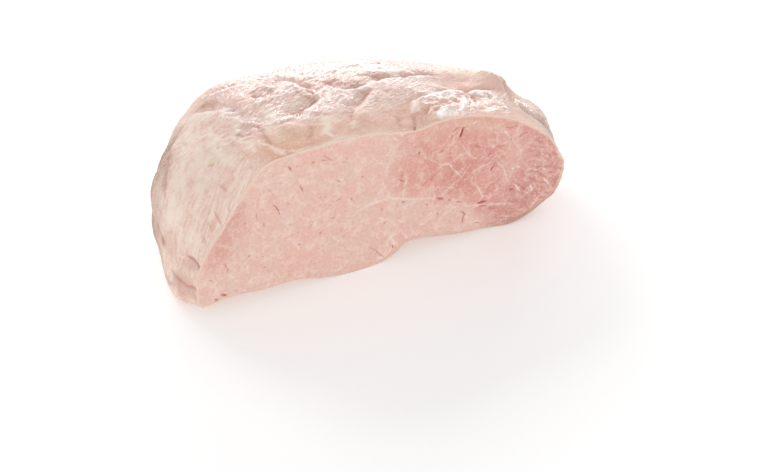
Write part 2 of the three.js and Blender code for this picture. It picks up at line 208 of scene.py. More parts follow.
# Streaks of creamy fat in the skin: a line of x, y, z points, half its width and its strength. The
# lists that follow are in the same terms.
CREAM_STREAKS = [
    ([(39, 101, 91), (29, 84, 90), (24, 73, 90), (14, 50, 87), (8, 38, 78), (8, 33, 72)], 4, 0.8),
    ([(14, 62, 86), (9, 52, 84), (6, 40, 75)], 4, 0.6),
    ([(6, 46, 76), (2, 41, 68), (-2, 38, 56)], 6, 0.9),
    ([(58, 98, 99), (48, 99, 96), (44, 105, 92), (38, 114, 86)], 5, 0.9),
    ([(47, 81, 99), (43, 68, 100), (39, 50, 100), (39, 37, 100), (43, 22, 103)], 3, 0.9),
    ([(61, 67, 105), (62, 51, 107)], 4, 0.9),
    ([(55, 50, 106), (56, 38, 109), (57, 20, 111)], 3, 0.9),
    ([(30, 62, 95), (24, 48, 93), (21, 38, 90)], 6, 0.7),
    ([(33, 49, 97), (27, 40, 94)], 3, 0.9),
    ([(41, 50, 100), (42, 35, 102), (46, 22, 104)], 2.4, 0.7),
    ([(83, 70, 108), (84, 60, 109), (80, 50, 109)], 6, 0.9),
    ([(116, 42, 113), (113, 30, 115), (107, 14, 117), (108, 8, 117)], 4, 1.0),
    ([(112, 31, 115), (122, 26, 115)], 3, 0.8),
    ([(130, 22, 116), (125, 10, 117)], 3, 0.7),
    ([(64, 34, 112), (66, 20, 114), (68, 8, 116)], 2.0, 0.7),
    ([(-7, 41, 40), (-9, 39, 28), (-10, 40, 14)], 3.5, 0.8),
    ([(0, 22, 50), (4, 16, 58), (8, 8, 56)], 7, 0.6),
    ([(100, 120, 100), (140, 118, 100), (190, 104, 98)], 8, 0.5),
    ([(10, 108, 56), (4, 100, 34)], 9, 0.6),
    ([(60, 142, 62), (104, 153, 66)], 7, 0.6),
    ([(170, 148, 62), (206, 141, 56)], 8, 0.6),
    ([(296, 40, 52), (288, 74, 56)], 8, 0.6),
    ([(268, 32, 84), (275, 27, 77), (282, 25, 70)], 7, 0.7),
    ([(66, 15, 116), (70, 9, 116), (72, 0, 117)], 1.6, 0.9),
    ([(76, 4, 117), (81, 1, 118), (86, 0, 118)], 1.8, 1.0),
    ([(86, 1, 118), (103, 1, 118), (112, 2, 117), (124, 2, 117)], 3.6, 1.0),
    ([(126, 2, 117), (137, 1, 116), (149, 2, 113), (158, 0, 111)], 1.2, 0.7),
    ([(170, -1, 109), (177, 0, 110), (185, -1, 111)], 2.2, 0.9),
    # The next two thin lines are painted highlights.
    ([(61, 98, 101), (65, 88, 103), (67, 82, 104)], 1.2, 0.9),
    ([(62, 77, 105), (71, 68, 107), (76, 61, 107)], 1.2, 0.9),
    ([(102, 60, 110), (109, 67, 110), (116, 72, 110)], 5, 0.6),
    ([(25, 36, 90), (21, 29, 85), (16, 27, 79)], 7, 0.5),
]
# Yellower fat, mostly where the skin turns down at the back and right.
YELLOW_STREAKS = [
    ([(232, 88, 92), (245, 79, 93)], 6, 1.2),
    ([(233, 75, 96), (241, 68, 96), (249, 60, 97)], 3, 0.8),
    ([(246, 76, 94), (250, 66, 96), (262, 50, 93)], 6, 0.3),
    ([(269, 40, 86), (267, 34, 86), (265, 25, 86), (266, 20, 84)], 3, 0.7),
    ([(268, 24, 84), (271, 21, 80), (279, 18, 71)], 3, 0.35),
    ([(32, 43, 98), (35, 40, 99)], 2.4, 0.7),
    ([(80, 34, 113), (84, 22, 115), (86, 12, 116)], 11, 0.3),
    ([(188, 118, 92), (216, 104, 92)], 5, 0.5),
]
# Painted light: the whitest skin, along the back of the top and on the glossy patches, stands for glare
# there and lightens places that lie in shade.
PAINTED_LIGHT_STREAKS = [
    ([(270, 34, 85), (276, 30, 78), (284, 26, 70)], 6, 0.6),
    ([(232, 51, 99), (243, 47, 98), (252, 46, 97), (268, 42, 92)], 10, 0.5),
    ([(268, 30, 85), (271, 25, 81), (275, 18, 75), (282, 10, 64)], 6, 0.6),
    ([(193, 8, 111), (200, 10, 111), (206, 12, 109)], 6, 0.9),
    ([(178, 26, 110), (181, 20, 110)], 3, 0.8),
    ([(63, 97, 101), (64, 88, 103), (67, 81, 105)], 3, 0.7),
    ([(62, 77, 104), (70, 68, 107), (76, 61, 108)], 1.6, 0.8),
    ([(150, 104, 104), (157, 103, 104), (168, 93, 105)], 5, 0.6),
    ([(112, 117, 101), (130, 114, 102), (157, 108, 103), (178, 96, 103), (190, 84, 104)], 11, 0.65),
    ([(170, 74, 107), (177, 70, 107), (193, 75, 103), (205, 67, 104), (220, 67, 100)], 3, 0.9),
]
# Painted light: light pink laid over places where the skin lies in soft shade, lifting that shade.
LIFTED_SHADE_STREAKS = [
    ([(228, 51, 100), (240, 47, 98), (252, 46, 97), (270, 42, 91)], 11, 1.0),
    ([(262, 50, 93), (258, 60, 92), (250, 70, 92)], 7, 0.4),
    ([(174, 20, 110), (179, 27, 110), (186, 32, 110)], 5, 0.5),
    ([(190, 20, 110), (216, 22, 107), (246, 20, 96)], 15, 0.35),
    ([(216, 12, 107), (228, 14, 104), (242, 14, 98)], 8, 0.8),
    ([(215, 4, 107), (232, 6, 102), (248, 8, 96), (264, 8, 86), (274, 4, 76)], 6, 0.7),
    ([(272, 26, 81), (278, 26, 76), (288, 22, 66)], 9, 0.5),
    ([(142, 14, 112), (156, 18, 111), (172, 14, 110)], 8, 0.3),
]
# Darker pink places: the skin's own rosier tone at the foot on the left, and painted shade beside the folds
# of the top.
ROSY_AND_SHADE_STREAKS = [
    ([(-8, 20, 24), (-4, 10, 22), (0, 2, 18)], 12, 0.75),
    ([(-3, 20, 39), (0, 12, 40), (3, 2, 42)], 4, 0.4),
    ([(-7, 44, 40), (-5, 37, 42), (-5, 30, 38)], 8, 0.3),
    ([(210, 62, 103), (236, 58, 99)], 13, 0.7),
    ([(68, 40, 109), (65, 54, 107), (64, 64, 106)], 7, 0.7),
    ([(111, 43, 113), (117, 40, 113)], 5, 0.7),
    ([(218, 14, 106), (227, 12, 104)], 6, 0.35),
    ([(135, 89, 108), (142, 87, 108), (146, 80, 108), (156, 71, 109)], 7, 0.85),
    ([(88, 101, 105), (101, 101, 106), (110, 98, 106)], 10, 0.8),
    ([(216, 9, 107), (226, 14, 104), (239, 15, 99)], 6, 0.45),
    ([(170, 50, 109), (179, 49, 109), (189, 47, 108)], 8, 0.35),
]
# Painted shade along folds, greyish brown.
FOLD_SHADE_STREAKS = [
    (LEFT_END_LINE, 4, 0.4),
    ([(72, 56, 108), (71, 45, 110), (69, 30, 113), (68, 14, 116)], 2.0, 0.8),
    ([(82, 34, 113), (86, 20, 115)], 9, 0.35),
    (TOP_LINE, 1.6, 0.7),
    (UPPER_FOOT_LINE, 1.0, 0.9),
    (MIDDLE_FOOT_LINE, 1.1, 0.9),
    (INNER_FOOT_LINE, 1.0, 0.9),
    (LOWER_FOOT_LINE, 1.1, 0.6),
    (LEFT_BULGE_LINE, 1.6, 0.8),
]
# Painted shade: a dark grey-brown tinge over the far left end, which turns away from the lights.
LEFT_END_SHADE_STREAKS = [
    ([(20, 106, 76), (6, 92, 62), (-2, 86, 44), (-4, 84, 22), (-2, 84, 4)], 28, 0.75),
    ([(-3, 79, 29), (-8, 57, 27), (-10, 43, 20), (-11, 31, 15)], 8, 0.35),
    ([(3, 66, 70), (-4, 61, 52), (-6, 60, 36), (-6, 56, 22)], 11, 0.4),
]
# The streaks, by the name of the field that the material reads.
SKIN_STREAKS = {
    "cream": CREAM_STREAKS,
    "yellow": YELLOW_STREAKS,
    "painted_light": PAINTED_LIGHT_STREAKS,
    "lifted_shade": LIFTED_SHADE_STREAKS,
    "rosy_and_shade": ROSY_AND_SHADE_STREAKS,
    "fold_shade": FOLD_SHADE_STREAKS,
    "left_end_shade": LEFT_END_SHADE_STREAKS,
}
# Small reddish marks of the skin.
RED_MARKS = [
    ([(57, 56, 105), (59, 48, 106)], 0.9, 0.8),
    ([(27, 84, 89), (27, 77, 91)], 1.2, 0.4),
    ([(29, 42, 95), (32, 39, 97)], 1.0, 0.6),
    ([(40, 51, 100), (42, 50, 101)], 1.0, 0.4),
    ([(48, 49, 103), (51, 43, 105)], 1.2, 0.4),
    ([(49, 12, 108), (49, 6, 109)], 0.9, 0.35),
    ([(30, 24, 91), (32, 16, 90)], 0.9, 0.45),
    ([(29, 6, 83), (29, 4, 83)], 1.0, 0.4),
    ([(22, 14, 77), (22, 8, 75), (22, 2, 73)], 1.0, 0.5),
    ([(17, 15, 70), (17, 6, 66)], 0.9, 0.35),
    ([(11, 13, 61), (11, 6, 59)], 0.9, 0.35),
    ([(1, 15, 44), (3, 7, 44), (4, -2, 44)], 0.9, 0.6),
    ([(-3, 7, 24), (0, -2, 26)], 0.9, 0.5),
    ([(170, 5, 109), (165, -3, 109)], 0.9, 0.7),
    ([(52, 114, 94), (57, 112, 97), (62, 108, 100)], 4, 0.55),
    ([(147, 86, 108), (152, 78, 109)], 7, 0.3),
    ([(291, 0, 42), (293, 4, 30), (288, 4, 16), (270, 3, 5), (246, 3, 1)], 9, 1.0),
]

# Painted shade: thin dark lines where folds of the skin meet.
CREASE_SHADE_LINES = [
    ([(97, 109, 104), (103, 104, 105), (109, 97, 106), (115, 90, 108), (122, 88, 108),
      (129, 71, 110)], 0.8, 0.9),
    ([(113, 87, 108), (112, 78, 109), (114, 71, 110), (117, 67, 110), (121, 63, 111)], 0.7, 0.8),
    ([(48, 118, 90), (59, 121, 95), (71, 128, 96), (84, 120, 101)], 0.8, 0.7),
    ([(71, 41, 110), (70, 31, 113), (69, 22, 115)], 0.8, 0.6),
    ([(172, 9, 109), (169, 3, 109), (165, -3, 109)], 0.6, 0.8),
    (NICK_LINE, 0.5, 0.3),
    ([(162, 78, 108), (164, 74, 108), (170, 80, 107), (177, 78, 107)], 0.7, 0.6),
]

# Where the top is moist: how level and how far from the left it has to be, and how far behind the cut
# that starts at the left and at the right.
WET_LEVEL = (0.65, 0.93)
WET_LEFT_EDGE = (35, 75)
WET_START = {"left": 30, "right": 12}
WET_START_TURN = (112, 150)
WET_FADE = 28
# Where the skin along the top of the cut is duller and more orange.
WARM_LEVEL = (0.5, 0.85)
WARM_DEPTH = (45, 18)
WARM_LEFT_EDGE = (42, 66)
WARM_MIDDLE = (120, 90)
WARM_RIGHT_EDGE = (202, 176)

# How the lists of lines are drawn. A line reaches skin a little above or below it, and beyond that
# counts as further away than it is.
LINE_WAVER = 1.2
OFF_SKIN_FREE = 5
OFF_SKIN_WEIGHT = 2
STROKE_TAPER = 0.25  # the share of a stroke's length over which each of its ends narrows
STROKE_TIP = 0.4  # its width at the very end, as a share of its full width
FOLD_TAPER = 0.22  # the share of a fold's length over which each of its ends fades
FOLD_UNEVEN = 0.4  # how much its depth varies along it, as a share
# The dark bottom of a fold is painted shade: its width, and the depths over which it comes in.
CREASE_SHADE_WIDTH = 1.3
CREASE_SHADE_DEPTHS = (0.6, 2.4)  # a fold gets a dark bottom as its depth goes from the first to the second

# The small wrinkles and the fibres of the skin: which way they run, in degrees, and how much shorter
# or longer they are drawn in that direction and across it.
WRINKLE_TURN = 28
LEFT_WRINKLE_TURN = -67
LEFT_WRINKLE_END = (45, 95)
WRINKLE_BEND = 14
WRINKLE_ALONG, WRINKLE_ACROSS = 0.55, 1.2
FIBRE_TURN = 20
FIBRE_ALONG = 0.22
FIBRES_END = (110, 150)

# The fine grids of the skin and of the cut face. The cut has extra rows of points beside its lines,
# rings of them round its dots, and rows inside its rim.
UPPER_SAMPLES = 380
UNDER_SAMPLES = 90
RINGS = 156
CUT_SPACING = 1.6
MARK_SPACING = 0.6
MARK_GAP = 0.6 * MARK_SPACING
MARK_ROWS = (-1.5, -0.6, 0.6, 1.5)
DOT_STEPS, DOT_RINGS = 6, (0.8, 1.7)
RIM_DEPTHS = (0.6, 1.3, 2.1)
RIM_CLEARANCE, INNER_CLEARANCE = 0.4, 0.5
LINE_CLEARANCE, LINE_MARGIN = 1.6, 0.3  # the even grid stays so many widths of a line from it, and more
MERGE_DISTANCE = 1e-5  # points of the cut closer than this would become one
TRIANGLES_INSIDE = 1  # the kind of result that is asked of the triangulation
CURVE_STEPS = 40  # from one point of the cut's edge to the next
# The rings are evenly spaced along a plain profile of the ham, from the cut to the end.
PROFILE_STEPS, PROFILE_BLUNTNESS, PROFILE_RADIUS = 2000, 3, 100
# Noise repeats after so many cells, and its gain brings it to about -1 to 1.
NOISE_CELLS, NOISE_GAIN = 256, 1.7
TINY = 1e-9  # the least length that a vector is divided by

# Pale veins of the cut face as x, z points, with half their width and their strength.
CUT_VEINS = [
    ([(118, 49), (123, 53), (129, 56), (136, 57), (148, 57), (163, 51), (178, 47), (188, 44)], 0.9, 0.75),
    ([(188, 44), (195, 40), (202, 37), (207, 33), (211, 29), (221, 27), (246, 20), (255, 15)], 0.8, 0.65),
    ([(187, 71), (191, 73), (195, 72), (198, 67), (202, 62), (206, 57)], 0.6, 1.0),
    ([(178, 82), (184, 77), (189, 73)], 0.5, 0.5),
    ([(195, 72), (201, 75), (205, 77), (212, 79)], 0.5, 0.7),
    ([(203, 90), (205, 85), (209, 78), (215, 71), (219, 68)], 0.5, 0.5),
    ([(206, 57), (208, 61), (212, 65)], 0.5, 0.6),
    ([(206, 57), (200, 54), (194, 49), (189, 44)], 0.6, 0.6),
    ([(212, 56), (218, 60), (225, 62), (230, 63), (233, 63)], 0.5, 0.6),
    ([(230, 62), (233, 63), (237, 58), (240, 54), (242, 48), (244, 41)], 0.5, 0.85),
    ([(244, 42), (240, 38), (233, 36)], 0.5, 0.45),
    ([(233, 63), (236, 65), (240, 70)], 0.4, 0.5),
    ([(214, 50), (219, 44), (222, 38), (224, 34), (220, 30), (216, 28), (211, 29)], 0.55, 0.85),
    ([(224, 34), (231, 32), (238, 33)], 0.6, 0.6),
    ([(223, 45), (228, 44), (234, 45), (239, 52)], 0.5, 0.6),
    ([(170, 49), (165, 46), (160, 46), (154, 45), (151, 43)], 0.7, 0.5),
    ([(184, 45), (183, 51), (182, 58)], 0.5, 0.6),
    ([(173, 48), (179, 54), (183, 61)], 0.45, 0.5),
    ([(162, 70), (160, 64), (159, 54)], 0.9, 0.6),
    ([(142, 73), (146, 65), (148, 58), (154, 53)], 0.8, 0.45),
    ([(176, 46), (180, 39), (184, 35), (186, 29), (189, 26)], 0.5, 0.6),
    ([(189, 26), (194, 29), (199, 31), (204, 32)], 0.6, 0.6),
    ([(189, 26), (187, 21), (186, 13)], 0.9, 0.4),
    ([(239, 88), (244, 80)], 0.5, 0.8),
    ([(245, 78), (250, 72), (254, 65), (255, 58)], 0.6, 0.65),
    ([(245, 78), (248, 83), (253, 88)], 0.4, 0.45),
    ([(254, 65), (261, 66), (270, 68)], 0.4, 0.35),
    ([(245, 78), (238, 76), (232, 75), (226, 82)], 0.45, 0.5),
    ([(258, 52), (262, 47), (267, 44), (271, 42)], 0.7, 0.75),
    ([(181, 98), (182, 90), (182, 84), (184, 80)], 0.4, 0.4),
    ([(193, 94), (195, 87), (194, 82)], 0.4, 0.35),
    ([(159, 105), (153, 99), (150, 93), (147, 86), (145, 76)], 1.0, 0.4),
    ([(235, 98), (238, 93)], 0.5, 0.6),
    ([(77, 66), (83, 60), (88, 58), (95, 58), (100, 60), (108, 63)], 0.8, 0.45),
    ([(104, 51), (109, 46), (115, 46), (119, 50)], 0.6, 0.45),
    ([(72, 45), (77, 36)], 0.5, 0.6),
    ([(48, 23), (41, 20)], 0.5, 0.45),
    ([(59, 22), (64, 12)], 0.5, 0.5),
    ([(20, 30), (32, 30), (38, 31)], 0.5, 0.45),
    ([(55, 52), (47, 60), (43, 68)], 0.6, 0.35),
    ([(54, 45), (64, 53)], 0.6, 0.35),
    ([(90, 56), (91, 47)], 0.5, 0.35),
    ([(116, 37), (121, 44)], 0.5, 0.45),
    ([(140, 42), (148, 38), (153, 31), (157, 24)], 0.45, 0.6),
    ([(157, 24), (152, 23), (149, 22), (150, 19), (152, 15), (150, 11), (146, 7), (135, 1)], 0.9, 1.0),
    ([(149, 22), (146, 18), (147, 13)], 1.0, 0.8),
    ([(152, 16), (155, 12), (156, 9)], 0.9, 0.6),
    ([(148, 12), (142, 7), (136, 4)], 0.8, 0.7),
    ([(157, 24), (160, 20), (163, 16)], 0.6, 0.9),
    ([(146, 24), (143, 28), (138, 35)], 0.5, 0.4),
]
# Deeper pink places of the cut face.
CUT_ROSY = [
    ([(196, 58), (210, 62)], 15, 0.55),
    ([(222, 26), (238, 18), (256, 16)], 9, 0.5),
    ([(262, 22), (272, 24)], 9, 0.45),
    ([(12, 42), (27, 68), (36, 86)], 12, 0.5),
    ([(226, 86), (244, 80)], 13, 0.1),
    ([(238, 66), (232, 62)], 10, 0.35),
]
# Paler, more orange places of the cut face.
CUT_PALE = [
    ([(168, 101), (182, 105), (200, 104), (218, 100), (238, 90)], 8, 0.6),
    ([(160, 96), (172, 92)], 9, 0.5),
    ([(238, 88), (247, 74), (249, 58), (244, 42)], 8, 0.55),
]
# Short bright flecks, most of them near the right end where the cut is torn; there they are painted glints
# on the torn meat.
CUT_FLECKS_AND_GLINTS = [
    ([(275, 33), (280, 27)], 0.5, 1.0),
    ([(263, 32), (266, 26)], 0.5, 1.0),
    ([(251, 35), (255, 29)], 0.5, 0.9),
    ([(258, 24), (263, 26)], 0.45, 0.7),
    ([(252, 52), (254, 50)], 0.7, 0.7),
    ([(247, 52), (249, 51)], 0.5, 0.7),
    ([(268, 53), (272, 51)], 0.45, 0.6),
    ([(272, 44), (277, 41)], 0.45, 0.6),
    ([(266, 12), (271, 16)], 0.6, 0.7),
    ([(204, 99.4), (201.6, 93)], 0.3, 0.8),
    ([(156, 110), (158, 107)], 0.6, 0.8),
    ([(151, 108), (154, 105)], 0.5, 0.6),
]
# Dark slits and gaps of the cut face, with half their width and their strength.
CUT_SLITS = [
    ([(205.4, 100.4), (204.4, 96), (203, 92)], 0.8, 1.4),
    ([(205, 100.4), (208, 100)], 0.35, 0.6),
    ([(202, 101), (198, 99.6)], 0.35, 0.5),
    ([(197, 96), (196, 93)], 0.4, 0.6),
    ([(251, 78), (255, 80), (260, 80.6)], 0.4, 0.6),
    ([(239, 90), (251, 87.4)], 0.4, 0.35),
    ([(232, 75.4), (239, 75)], 0.4, 0.45),
    ([(216, 81), (219, 79)], 0.4, 0.5),
    ([(228.4, 71.4), (227, 69)], 0.45, 0.5),
    ([(187, 84), (191, 85)], 0.45, 0.5),
    ([(158, 74), (157.6, 72)], 0.4, 0.5),
    ([(156, 70.4), (159, 68)], 0.5, 0.6),
    ([(182, 64), (181, 61)], 0.4, 0.45),
    ([(231, 58.6), (230, 55.6)], 0.6, 0.8),
    ([(246, 33), (250, 32)], 0.6, 0.8),
    ([(255, 33), (260, 29)], 0.4, 0.6),
    ([(185, 45.4), (191.4, 42)], 0.75, 0.75),
    ([(195, 40.4), (198, 39)], 0.7, 0.7),
    ([(202, 36.4), (206.6, 34)], 0.7, 0.6),
    ([(219, 29.4), (227.4, 28.4)], 0.8, 0.95),
    ([(222, 25.6), (227.6, 25)], 0.6, 0.6),
    ([(228, 21.4), (235, 20)], 1.2, 0.35),
    ([(206, 26.4), (209, 23), (208, 19), (207, 14)], 0.55, 0.7),
    ([(217, 11.4), (221.4, 11)], 0.5, 0.6),
    ([(158.4, 50.4), (160, 49)], 0.55, 0.7),
    ([(177, 42.4), (179, 40)], 0.5, 0.7),
    ([(186, 32), (187, 28)], 0.4, 0.5),
    ([(72, 107.6), (74, 104)], 0.55, 0.6),
    ([(59, 80.4), (62, 77), (64.4, 70.6)], 0.4, 0.7),
    ([(80, 89.6), (81.4, 85)], 0.45, 0.6),
    ([(55.6, 94), (58.4, 91)], 0.4, 0.4),
    ([(59, 90), (60.4, 88)], 0.35, 0.4),
    ([(98, 109), (101, 106), (104.6, 103)], 0.45, 0.45),
    ([(95, 107), (100.4, 104)], 0.45, 0.4),
    ([(111.6, 100), (116.4, 97)], 0.6, 0.4),
    ([(107.6, 85.6), (110.4, 83)], 0.55, 0.5),
    ([(114, 85.4), (113.6, 83.4)], 0.45, 0.4),
    ([(106.6, 67.6), (109.6, 69.4)], 0.55, 0.45),
    ([(118, 67.4), (119.4, 64)], 0.6, 0.45),
    ([(86, 51.6), (88.6, 54)], 0.5, 0.4),
    ([(47, 76.6), (47.4, 70.4)], 0.45, 0.45),
    ([(52, 67.4), (52.4, 64.6)], 0.5, 0.45),
    ([(39, 73), (37.6, 68.6)], 0.4, 0.35),
    ([(22, 40.6), (23.4, 38)], 0.5, 0.5),
    ([(24, 37), (23, 33.6)], 0.45, 0.45),
    ([(9.6, 31), (12, 29)], 0.6, 0.45),
    ([(13.6, 12.4), (13, 9.6)], 0.8, 0.7),
    ([(19, 14.4), (22.4, 13)], 0.8, 0.9),
    ([(150, 14), (151.4, 11)], 0.6, 0.8),
    ([(133, 17.4), (138, 12), (144, 4)], 0.6, 0.4),
]
CUT_LINES = CUT_VEINS + CUT_FLECKS_AND_GLINTS + CUT_SLITS
# Small reddish dots of the cut face: x, z, radius and strength.
CUT_DOTS = [
    (171, 89, 0.9, 0.9), (196, 81, 0.7, 0.6), (196, 77, 0.7, 0.5), (168, 95, 0.6, 0.5), (245, 78, 0.7, 0.7),
    (94, 44, 1.1, 0.55), (78, 39, 0.8, 0.6), (90, 106, 1.0, 0.65), (127, 82, 0.8, 0.55), (40, 42, 0.8, 0.55),
    (50, 38, 0.8, 0.45), (51, 28, 0.8, 0.55), (104, 54, 0.9, 0.45), (71, 77, 0.8, 0.4), (144, 36, 0.8, 0.6),
    (142, 49, 0.8, 0.5), (112, 35, 0.9, 0.35), (95, 75, 0.7, 0.4), (98, 74, 0.6, 0.4), (66, 96, 0.6, 0.35),
]
# The left border of the darker muscle.
MUSCLE_BORDER = {"z": [0, 40, 62, 85, 120], "x": [185, 180, 152, 152, 165]}
# Where the meat is torn at the right end. Below the middle heights that starts further left, and
# above them further right, by the lean for each millimetre.
TORN_START = (244, 268)
TORN_MIDDLE = (48, 62)
TORN_LEAN = 0.6
# How far the meat of the cut lies behind its plane, how uneven it is, and how deep a slit is.
MEAT_SUNK, MEAT_UNEVEN, SLIT_DEPTH = 0.25, 0.12, 0.12
TORN_RIM = (1, 4)  # the torn meat gets its relief between these distances from the rim
CUT_RIM = (0.2, 1.5)  # and all of the meat between these
# The dark crust under the right end: its widest place and reach, where it starts, and how high it goes.
CRUST_FOOT = ((256, 2), 16)
CRUST_START = (222, 246)
CRUST_TOP = (62, 44)
# The underside of the cut, where its rim is drawn differently.
UNDER_TOP = 26
UNDER_LEFT_EDGE = (18, 30)
UNDER_LINE_START = (88, 120)

# Colours, as six hex digits: the two that each ground wavers between, and coats over it, each with the
# field of the mesh that says where it is, its strength and its colour.
SKIN_GROUND = ("e8c8b9", "edd3c4")
MOIST_COATS = [("wet", 0.55, "d29685"), ("warm", 0.85, "d59c84")]
SKIN_COATS = [
    # The next three coats are painted shade: on skin that faces back, over the far left end, and along
    # folds.
    ("behind", 0.55, "cf9c8a"),
    ("left_end_shade", 0.9, "957060"),
    ("fold_shade", 0.8, "b98572"),
    ("cream", 0.9, "f2e2d2"),
    ("gloss", 0.7, "e6b5a4"),
]
# Painted light on the whitest places, then painted highlight on the whitest glossy lumps.
PAINTED_LIGHT_COATS = [("painted_light", 0.9, "fbf3ef")]
LUMP_HIGHLIGHT_COATS = [("lumps", 0.85, "ffeee5")]
# Marks laid last. The second is painted light that lifts soft shade, the third is partly painted shade
# beside folds, and the fourth and fifth are painted shade in hollows and along the bottoms of folds.
SKIN_MARKS = [
    ("yellow", 0.75, "ded0a4"),
    ("lifted_shade", 0.65, "ffcbb8"),
    ("rosy_and_shade", 0.75, "c68f83"),
    ("hollow", 0.5, "c98f80"),
    ("crease_shade", 0.75, "9c6453"),
    ("red", 0.8, "b0604f"),
]
CUT_GROUND = ("e6c3b5", "e9bdae")
MUSCLE_GROUND = ("e2a799", "db9a8f")
TORN_GROUND = ("c98a80", "dfa99d")
CUT_COATS = [("paler", 1, "e4bba8"), ("deeper", 1, "cf8678")]
CUT_MARKS = [
    ("vein", 0.82, "fbeee4"),
    ("slit", 1, "b03a26"),
    ("crust", 1, "8f4c3c"),
    # Bright flecks; near the torn end they are painted glints.
    ("fleck_and_glint", 0.9, "fdf4ee"),
]
# The shades of finer features, which the materials place by themselves. The crest, glint, sparkle and torn
# glint shades are painted highlights.
PALE_FIBRE, DARK_FIBRE = "f0e1d1", "dcaea0"
PALE_THREAD, DARK_THREAD = "f2e2d4", "d9a899"
MOTTLE, CREST_HIGHLIGHT, SPECK, CRACK = "d5a495", "f8ece6", "f2e3d8", "f8ebe2"
GLINT, SPARKLE = "fff6f0", "fffaf7"
PALE_CLOUD, MUSCLE_CLOUD, TORN_GLINT = "efd2c5", "ecc4b5", "f6e4dc"
PALE_GRAIN, DARK_GRAIN = "f4d9cc", "d89c8f"
WIDE_NET, NARROW_NET = "f0d2c4", "f6e2d7"
LOWER_RIM_BAND, UPPER_FAT = "d6b6a4", "efd3c0"
# Light sinks a little way into the meat, and shines more on the skin than on the cut.
MEAT = {
    "Subsurface Weight": 0.06,
    "Subsurface Radius": (1.0, 0.5, 0.35),
    "Subsurface Scale": 0.002,
    "IOR": 1.42,
}
SKIN_SHINE = {"Specular IOR Level": 0.6}
ALONG_WRINKLES = (0, 0, math.radians(WRINKLE_TURN))

# The floor and the lights, in metres and watts. A light has a place, a place that it points at, a
# width and a height, and its power.
WHITE = (1, 1, 1, 1)
FLOOR_HALF = 6.0
FLOOR_SURFACE = {
    "Base Color": (0.96, 0.96, 0.96, 1),
    "Roughness": 0.9,
    "Emission Color": WHITE,
    "Emission Strength": 0.2,
}
LIGHTS = [
    ("back_light", (-0.2, 1.3, 1.0), (0, 0, 0.08), 0.8, 0.35, 7),
    ("back_panel", (1.05, 2.0, 0.42), (0, 0, 0.1), 1.9, 0.4, 28),
    ("front_light", (-1.5, -1.9, 0.8), (0, 0, 0.05), 2.2, 1.5, 17),
]
ROOM_BRIGHTNESS = 0.62

# The photograph's frame and the camera that fits it, in pixels, degrees and millimetres. The camera
# sees the aim point at the aim pixel, and the making origin is where the frame's origin lies.
PHOTO_WIDTH, PHOTO_HEIGHT = 760, 472
FOCAL_PIXELS = 1800
CAMERA_TURN, CAMERA_TILT = 25.75, 38.0
AIM_PIXEL = (330, 276)
AIM_POINT = (100, 0, 3)
AIM_DEPTH = 1289
MAKING_ORIGIN = (144.9, 79.9, 0)
SENSOR_WIDTH = 36
VIEW_END = 50  # how far the camera sees, in metres


def smooth(low, high, value):
    """0 below low, 1 above high, with an even turn between them."""
    share = np.clip((value - low) / (high - low), 0, 1)
    return share * share * (3 - 2 * share)


def mix(first, second, share):
    """The first value where the share is 0 and the second where it is 1."""
    return first + (second - first) * share


def unit(vectors):
    """The vectors, each made 1 long."""
    return vectors / np.maximum(np.linalg.norm(vectors, axis=-1, keepdims=True), TINY)


def noise(points, size, seed):
    """Smooth noise from about -1 to 1, whose lumps are as wide as size."""
    generator = np.random.default_rng(seed)
    order = generator.permutation(NOISE_CELLS)
    slopes = unit(generator.normal(size=(NOISE_CELLS, 3)))
    scaled = points / size
    cell = np.floor(scaled).astype(int)
    inside = scaled - cell
    ease = inside**3 * (inside * (inside * 6 - 15) + 10)
    total = np.zeros(points.shape[:-1])
    for corner in np.ndindex(2, 2, 2):
        at = (cell + corner) % NOISE_CELLS
        picked = order[at[..., 0]]
        for axis in (1, 2):
            picked = order[(picked + at[..., axis]) % NOISE_CELLS]
        height = (slopes[picked] * (inside - corner)).sum(-1)
        weight = np.ones(points.shape[:-1])
        for axis in range(3):
            weight = weight * (ease[..., axis] if corner[axis] else 1 - ease[..., axis])
        total += weight * height
    return total * NOISE_GAIN


def push(points, size, seeds):
    """Noise in several directions at once, with a seed for each direction."""
    return np.stack([noise(points, size, seed) for seed in seeds], axis=-1)


def blob(points, centre, reach):
    """1 at a point, fading to 0 beyond about twice its reach."""
    return np.exp(-((points - np.array(centre, float)) ** 2).sum(-1) / reach**2)


def swell(points, swellings):
    """How far swellings, each with a centre, a reach and a height, lift the points."""
    return sum(height * blob(points, centre, reach) for centre, reach, height in swellings)


def closed_curve(points, steps):
    """A smooth closed curve through the points, with that many steps between each two."""
    here = np.array(points, float)
    before, after, beyond = (np.roll(here, shift, 0) for shift in (1, -1, -2))
    share = np.linspace(0, 1, steps, endpoint=False)[None, :, None]
    here, before, after, beyond = (part[:, None] for part in (here, before, after, beyond))
    curve = 0.5 * (
        2 * here
        + (after - before) * share
        + (2 * before - 5 * here + 4 * after - beyond) * share**2
        + (3 * here - before - 3 * after + beyond) * share**3
    )
    return curve.reshape(-1, 2)


def step_lengths(points):
    """How long each step from point to point of a line is."""
    return np.linalg.norm(np.diff(points, axis=0), axis=1)


def lengths_along(points):
    """How far each point of a line lies from the line's start, measured along it."""
    return np.concatenate([[0], np.cumsum(step_lengths(points))])


